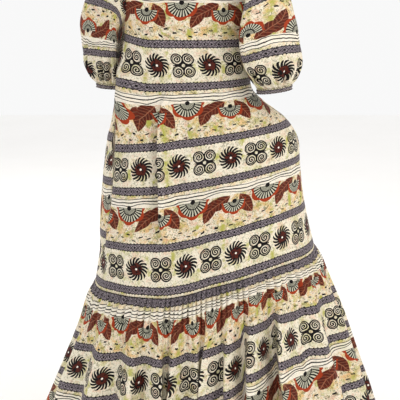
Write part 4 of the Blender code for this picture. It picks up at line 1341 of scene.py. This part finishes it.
def neckLoop():
    # the band follows the neck's edge round the back, then round the front
    rows = [[] for _ in neckband["rows"]]
    reach = chest["neckHalfWidth"]
    for facing in (-1, 1):
        drop = chest["frontDrop"] if facing > 0 else chest["backDrop"]
        for i in range(neckband["perSide"]):
            edgeX = reach * math.cos(math.pi * i / neckband["perSide"]) * facing
            edgeZ = float(panelTop(facing, edgeX * 0.9999))
            steep = abs(edgeX / reach) ** (chest["roundness"] - 1.0)
            steep *= chest["roundness"] / reach * drop
            away = Vector((math.copysign(steep, edgeX), 0.0, -1.0)).normalized()
            if i == 0:
                away = Vector((math.copysign(1.0, edgeX), 0.0, -chest["slope"]))
            for row, (share, lift) in zip(rows, neckband["rows"]):
                x = edgeX + away.x * neckband["width"] * share
                shoulder = float(shoulderLine(x))
                z = min(edgeZ + away.z * neckband["width"] * share, shoulder)
                spot = Vector([float(c) for c in onChest(facing, np.float64(x), np.float64(z))])
                if i:
                    rolled = min(max((z - shoulder + chest["roll"]) / chest["roll"], 0.0), 1.0)
                    level = math.sqrt(max(1.0 - rolled**2, 0.0)) + 0.02
                    outward = Vector((0.25 * math.copysign(rolled, x), facing * level, rolled))
                    outward = outward.normalized()
                else:
                    # on the shoulder itself
                    outward = Vector((0.0, 0.0, 1.0))
                    spot.y = 0.0
                row.append(spot + outward * (lift + neckband["out"]))
    loops = np.array([[tuple(p) for p in row] for row in rows])
    return np.concatenate([loops, loops[:, :1]], axis=1)


print("neckband")
loop = neckLoop()
loopRun = arcFrom(loop, 0)
loopU = np.repeat(loopRun[3:4], len(loop), axis=0)
loopV = neckband["printLevel"] - np.linspace(0.0, neckband["width"], len(loop))
loopV = np.repeat(loopV[:, None], loop.shape[1], axis=1)
neck = hang("neckBinding", loop, loopU, loopV, cottonWaxPrint, closed=True)
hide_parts("neckband")


pocketShape = {
    # from the mouth in: degrees turned, share of the reach, half gap, half height, fall
    "rings": (
        (0, 0.0, 1.0, 0.078, 0.0), (30, 0.0, 0.8, 0.074, 0.005), (60, 0.0, 0.0095, 0.072, 0.012),
        (90, 0.0, 0.0085, 0.072, 0.020), (90, 0.35, 0.0080, 0.074, 0.032),
        (90, 0.70, 0.0075, 0.072, 0.044), (90, 1.0, 0.0045, 0.058, 0.052),
    ),
    "columns": 65,
    "finer": 8,
    "turnRadius": 0.018,      # how it turns in from the side seam
    "wallGap": 0.00175,
    "closingRows": 6,
    "rowStep": 0.0045,        # on the flat cut
}


def makePocket(name, node):
    side, middle, _, halfGap, reach = body["pockets"][node]
    rings = np.array(pocketShape["rings"])
    rings[0, 2] = halfGap
    rings[1, 2] = halfGap * 0.80
    keys = np.arange(len(rings), dtype=float)
    at = np.linspace(0.0, len(rings) - 1.0, (len(rings) - 1) * pocketShape["finer"] + 1)
    turned, onward, gap, high, fall = [readTable(keys, rings[:, k], at) for k in range(5)]
    onward = np.maximum(onward, 0.0)
    # the bag's far end closes in a few rows more
    extra = pocketShape["closingRows"]
    closing = np.linspace(0.0, 1.0, extra + 1)[1:] ** 0.7
    turned = np.concatenate([turned, np.full(extra, 90.0)])
    onward = np.concatenate([onward, 1.0 + 0.05 * closing])
    gap = np.concatenate([gap, gap[-1] * np.sqrt(np.maximum(1.0 - closing**2, 0.004))])
    high = np.concatenate([high, high[-1] * (1.0 - 0.12 * closing)])
    fall = np.concatenate([fall, np.full(extra, fall[-1])])
    around = np.linspace(0.0, 2.0 * math.pi, pocketShape["columns"])
    turn = np.radians(turned)[:, None]
    level = middle - fall[:, None] + high[:, None] * np.cos(around)[None, :]
    bulge = np.sin(around)[None, :] * np.ones_like(turn)
    bulge = np.where(turned[:, None] < 1.0, np.sign(bulge) * bulge**2, bulge)
    bulge = gap[:, None] * bulge
    radius = pocketShape["turnRadius"]
    forward = radius * (1.0 - np.cos(turn)) + onward[:, None] * reach + bulge * np.cos(turn)
    inward = pocketShape["wallGap"] + radius * np.sin(turn) - bulge * np.sin(turn)
    inward = inward + 0.0008 * np.sin(level * 90.0) * eased(onward[:, None] * 4.0)
    key = "seamRight" if side > 0 else "seamLeft"
    seam = readTable(body["seamLevels"], body[key], level)
    along = np.linalg.norm(bodyPoint(seam + 0.5, level) - bodyPoint(seam - 0.5, level), axis=-1)
    angle = seam + side * forward / along
    points = bodyPoint(angle, level) - bodyNormal(angle, level) * inward[..., None]
    points = settled(points, level)
    points[:, -1] = points[:, 0]
    run = arcFrom(points, 0)
    flatV = -0.2 - pocketShape["rowStep"] * np.arange(len(points))
    flatV = np.repeat(flatV[:, None], points.shape[1], axis=1)
    pocket = hang(
        name, points, run, flatV, pocketLining, closed=True, flip=side < 0
    )
    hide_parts(node)


print("pockets")
makePocket("pocketRight", "pocket_right")
makePocket("pocketLeft", "pocket_left")


studio = {
    "floor": "#FEFDFC",
    "floorMottle": "#FAF9F7",
    "floorSize": 14.0,
    "world": "#FFFFFF",
    "worldStrength": 0.95,
    # softboxes: place, aim, size in metres, watts, colour
    "lights": {
        "keySoftbox": ((2.4, -2.2, 1.5), (0.0, 0.0, -0.7), 1.0, 30.0, "#FFF8EE"),
        "frontSoftbox": ((-1.8, 2.8, 1.6), (0.0, 0.0, -0.6), 1.4, 36.0, "#FFF8F0"),
    },
    "gamma": 0.87,            # a catalogue photo's fuller contrast
    "camera": (0.029, -3.0, -0.023),
    "tiltDown": 13.0,
    "lens": 96.4,
}


def floorPaint():
    # matt studio floor paint: even, pale, hardly any gloss
    material = bpy.data.materials.new("mattStudioPaint")
    material.use_nodes = True
    tree = material.node_tree
    place = add(tree, "TexCoord", {}, out=3)
    mottle = add(tree, "TexNoise", {0: place, 2: 3.0, 3: 3.0})
    tone = printInks(tree, linear(studio["floor"]), (linear(studio["floorMottle"]), mottle))
    shader = tree.nodes["Principled BSDF"]
    tree.links.new(tone, shader.inputs["Base Color"])
    shader.inputs["Roughness"].default_value = 0.85
    return material


def areaLight(name, place, target, size, power, colour):
    light = bpy.data.lights.new(name, "AREA")
    light.shape = "SQUARE"
    light.size = size
    light.energy = power
    light.color = linear(colour)[:3]
    lamp = bpy.data.objects.new(name, light)
    lamp.location = place
    lamp.rotation_euler = (Vector(target) - Vector(place)).to_track_quat("-Z", "Y").to_euler()
    bpy.context.scene.collection.objects.link(lamp)


print("studio")
bpy.ops.object.select_all(action="DESELECT")
underHem = (0.0, 0.0, cadBox[0][2] - 0.0015)
bpy.ops.mesh.primitive_plane_add(size=studio["floorSize"], location=underHem)
floor = bpy.context.active_object
floor.name = "studioFloor"
bpy.ops.object.transform_apply(location=True)
floor.data.materials.append(floorPaint())

bpy.context.scene.view_settings.view_transform = "Standard"   # plain colour, as in a catalogue
bpy.context.scene.view_settings.gamma = studio["gamma"]
world = bpy.data.worlds.new("softWhiteRoom")
bpy.context.scene.world = world
world.use_nodes = True
sky = world.node_tree.nodes["Background"]
sky.inputs[0].default_value = linear(studio["world"])
sky.inputs[1].default_value = studio["worldStrength"]
for lightName, lightSizes in studio["lights"].items():
    areaLight(lightName, *lightSizes)

photoCamera = bpy.data.cameras.new("photoCamera")
photoCamera.lens = studio["lens"]
photoCamera.sensor_width = 36.0
photoCamera.clip_start, photoCamera.clip_end = 0.05, 60.0
cameraStand = bpy.data.objects.new("photoCamera", photoCamera)
cameraStand.location = studio["camera"]
cameraStand.rotation_euler = (math.radians(90.0 - studio["tiltDown"]), 0.0, 0.0)
bpy.context.scene.collection.objects.link(cameraStand)
bpy.context.scene.camera = cameraStand

print("cad box", [[round(v, 4) for v in c] for c in cadBox])
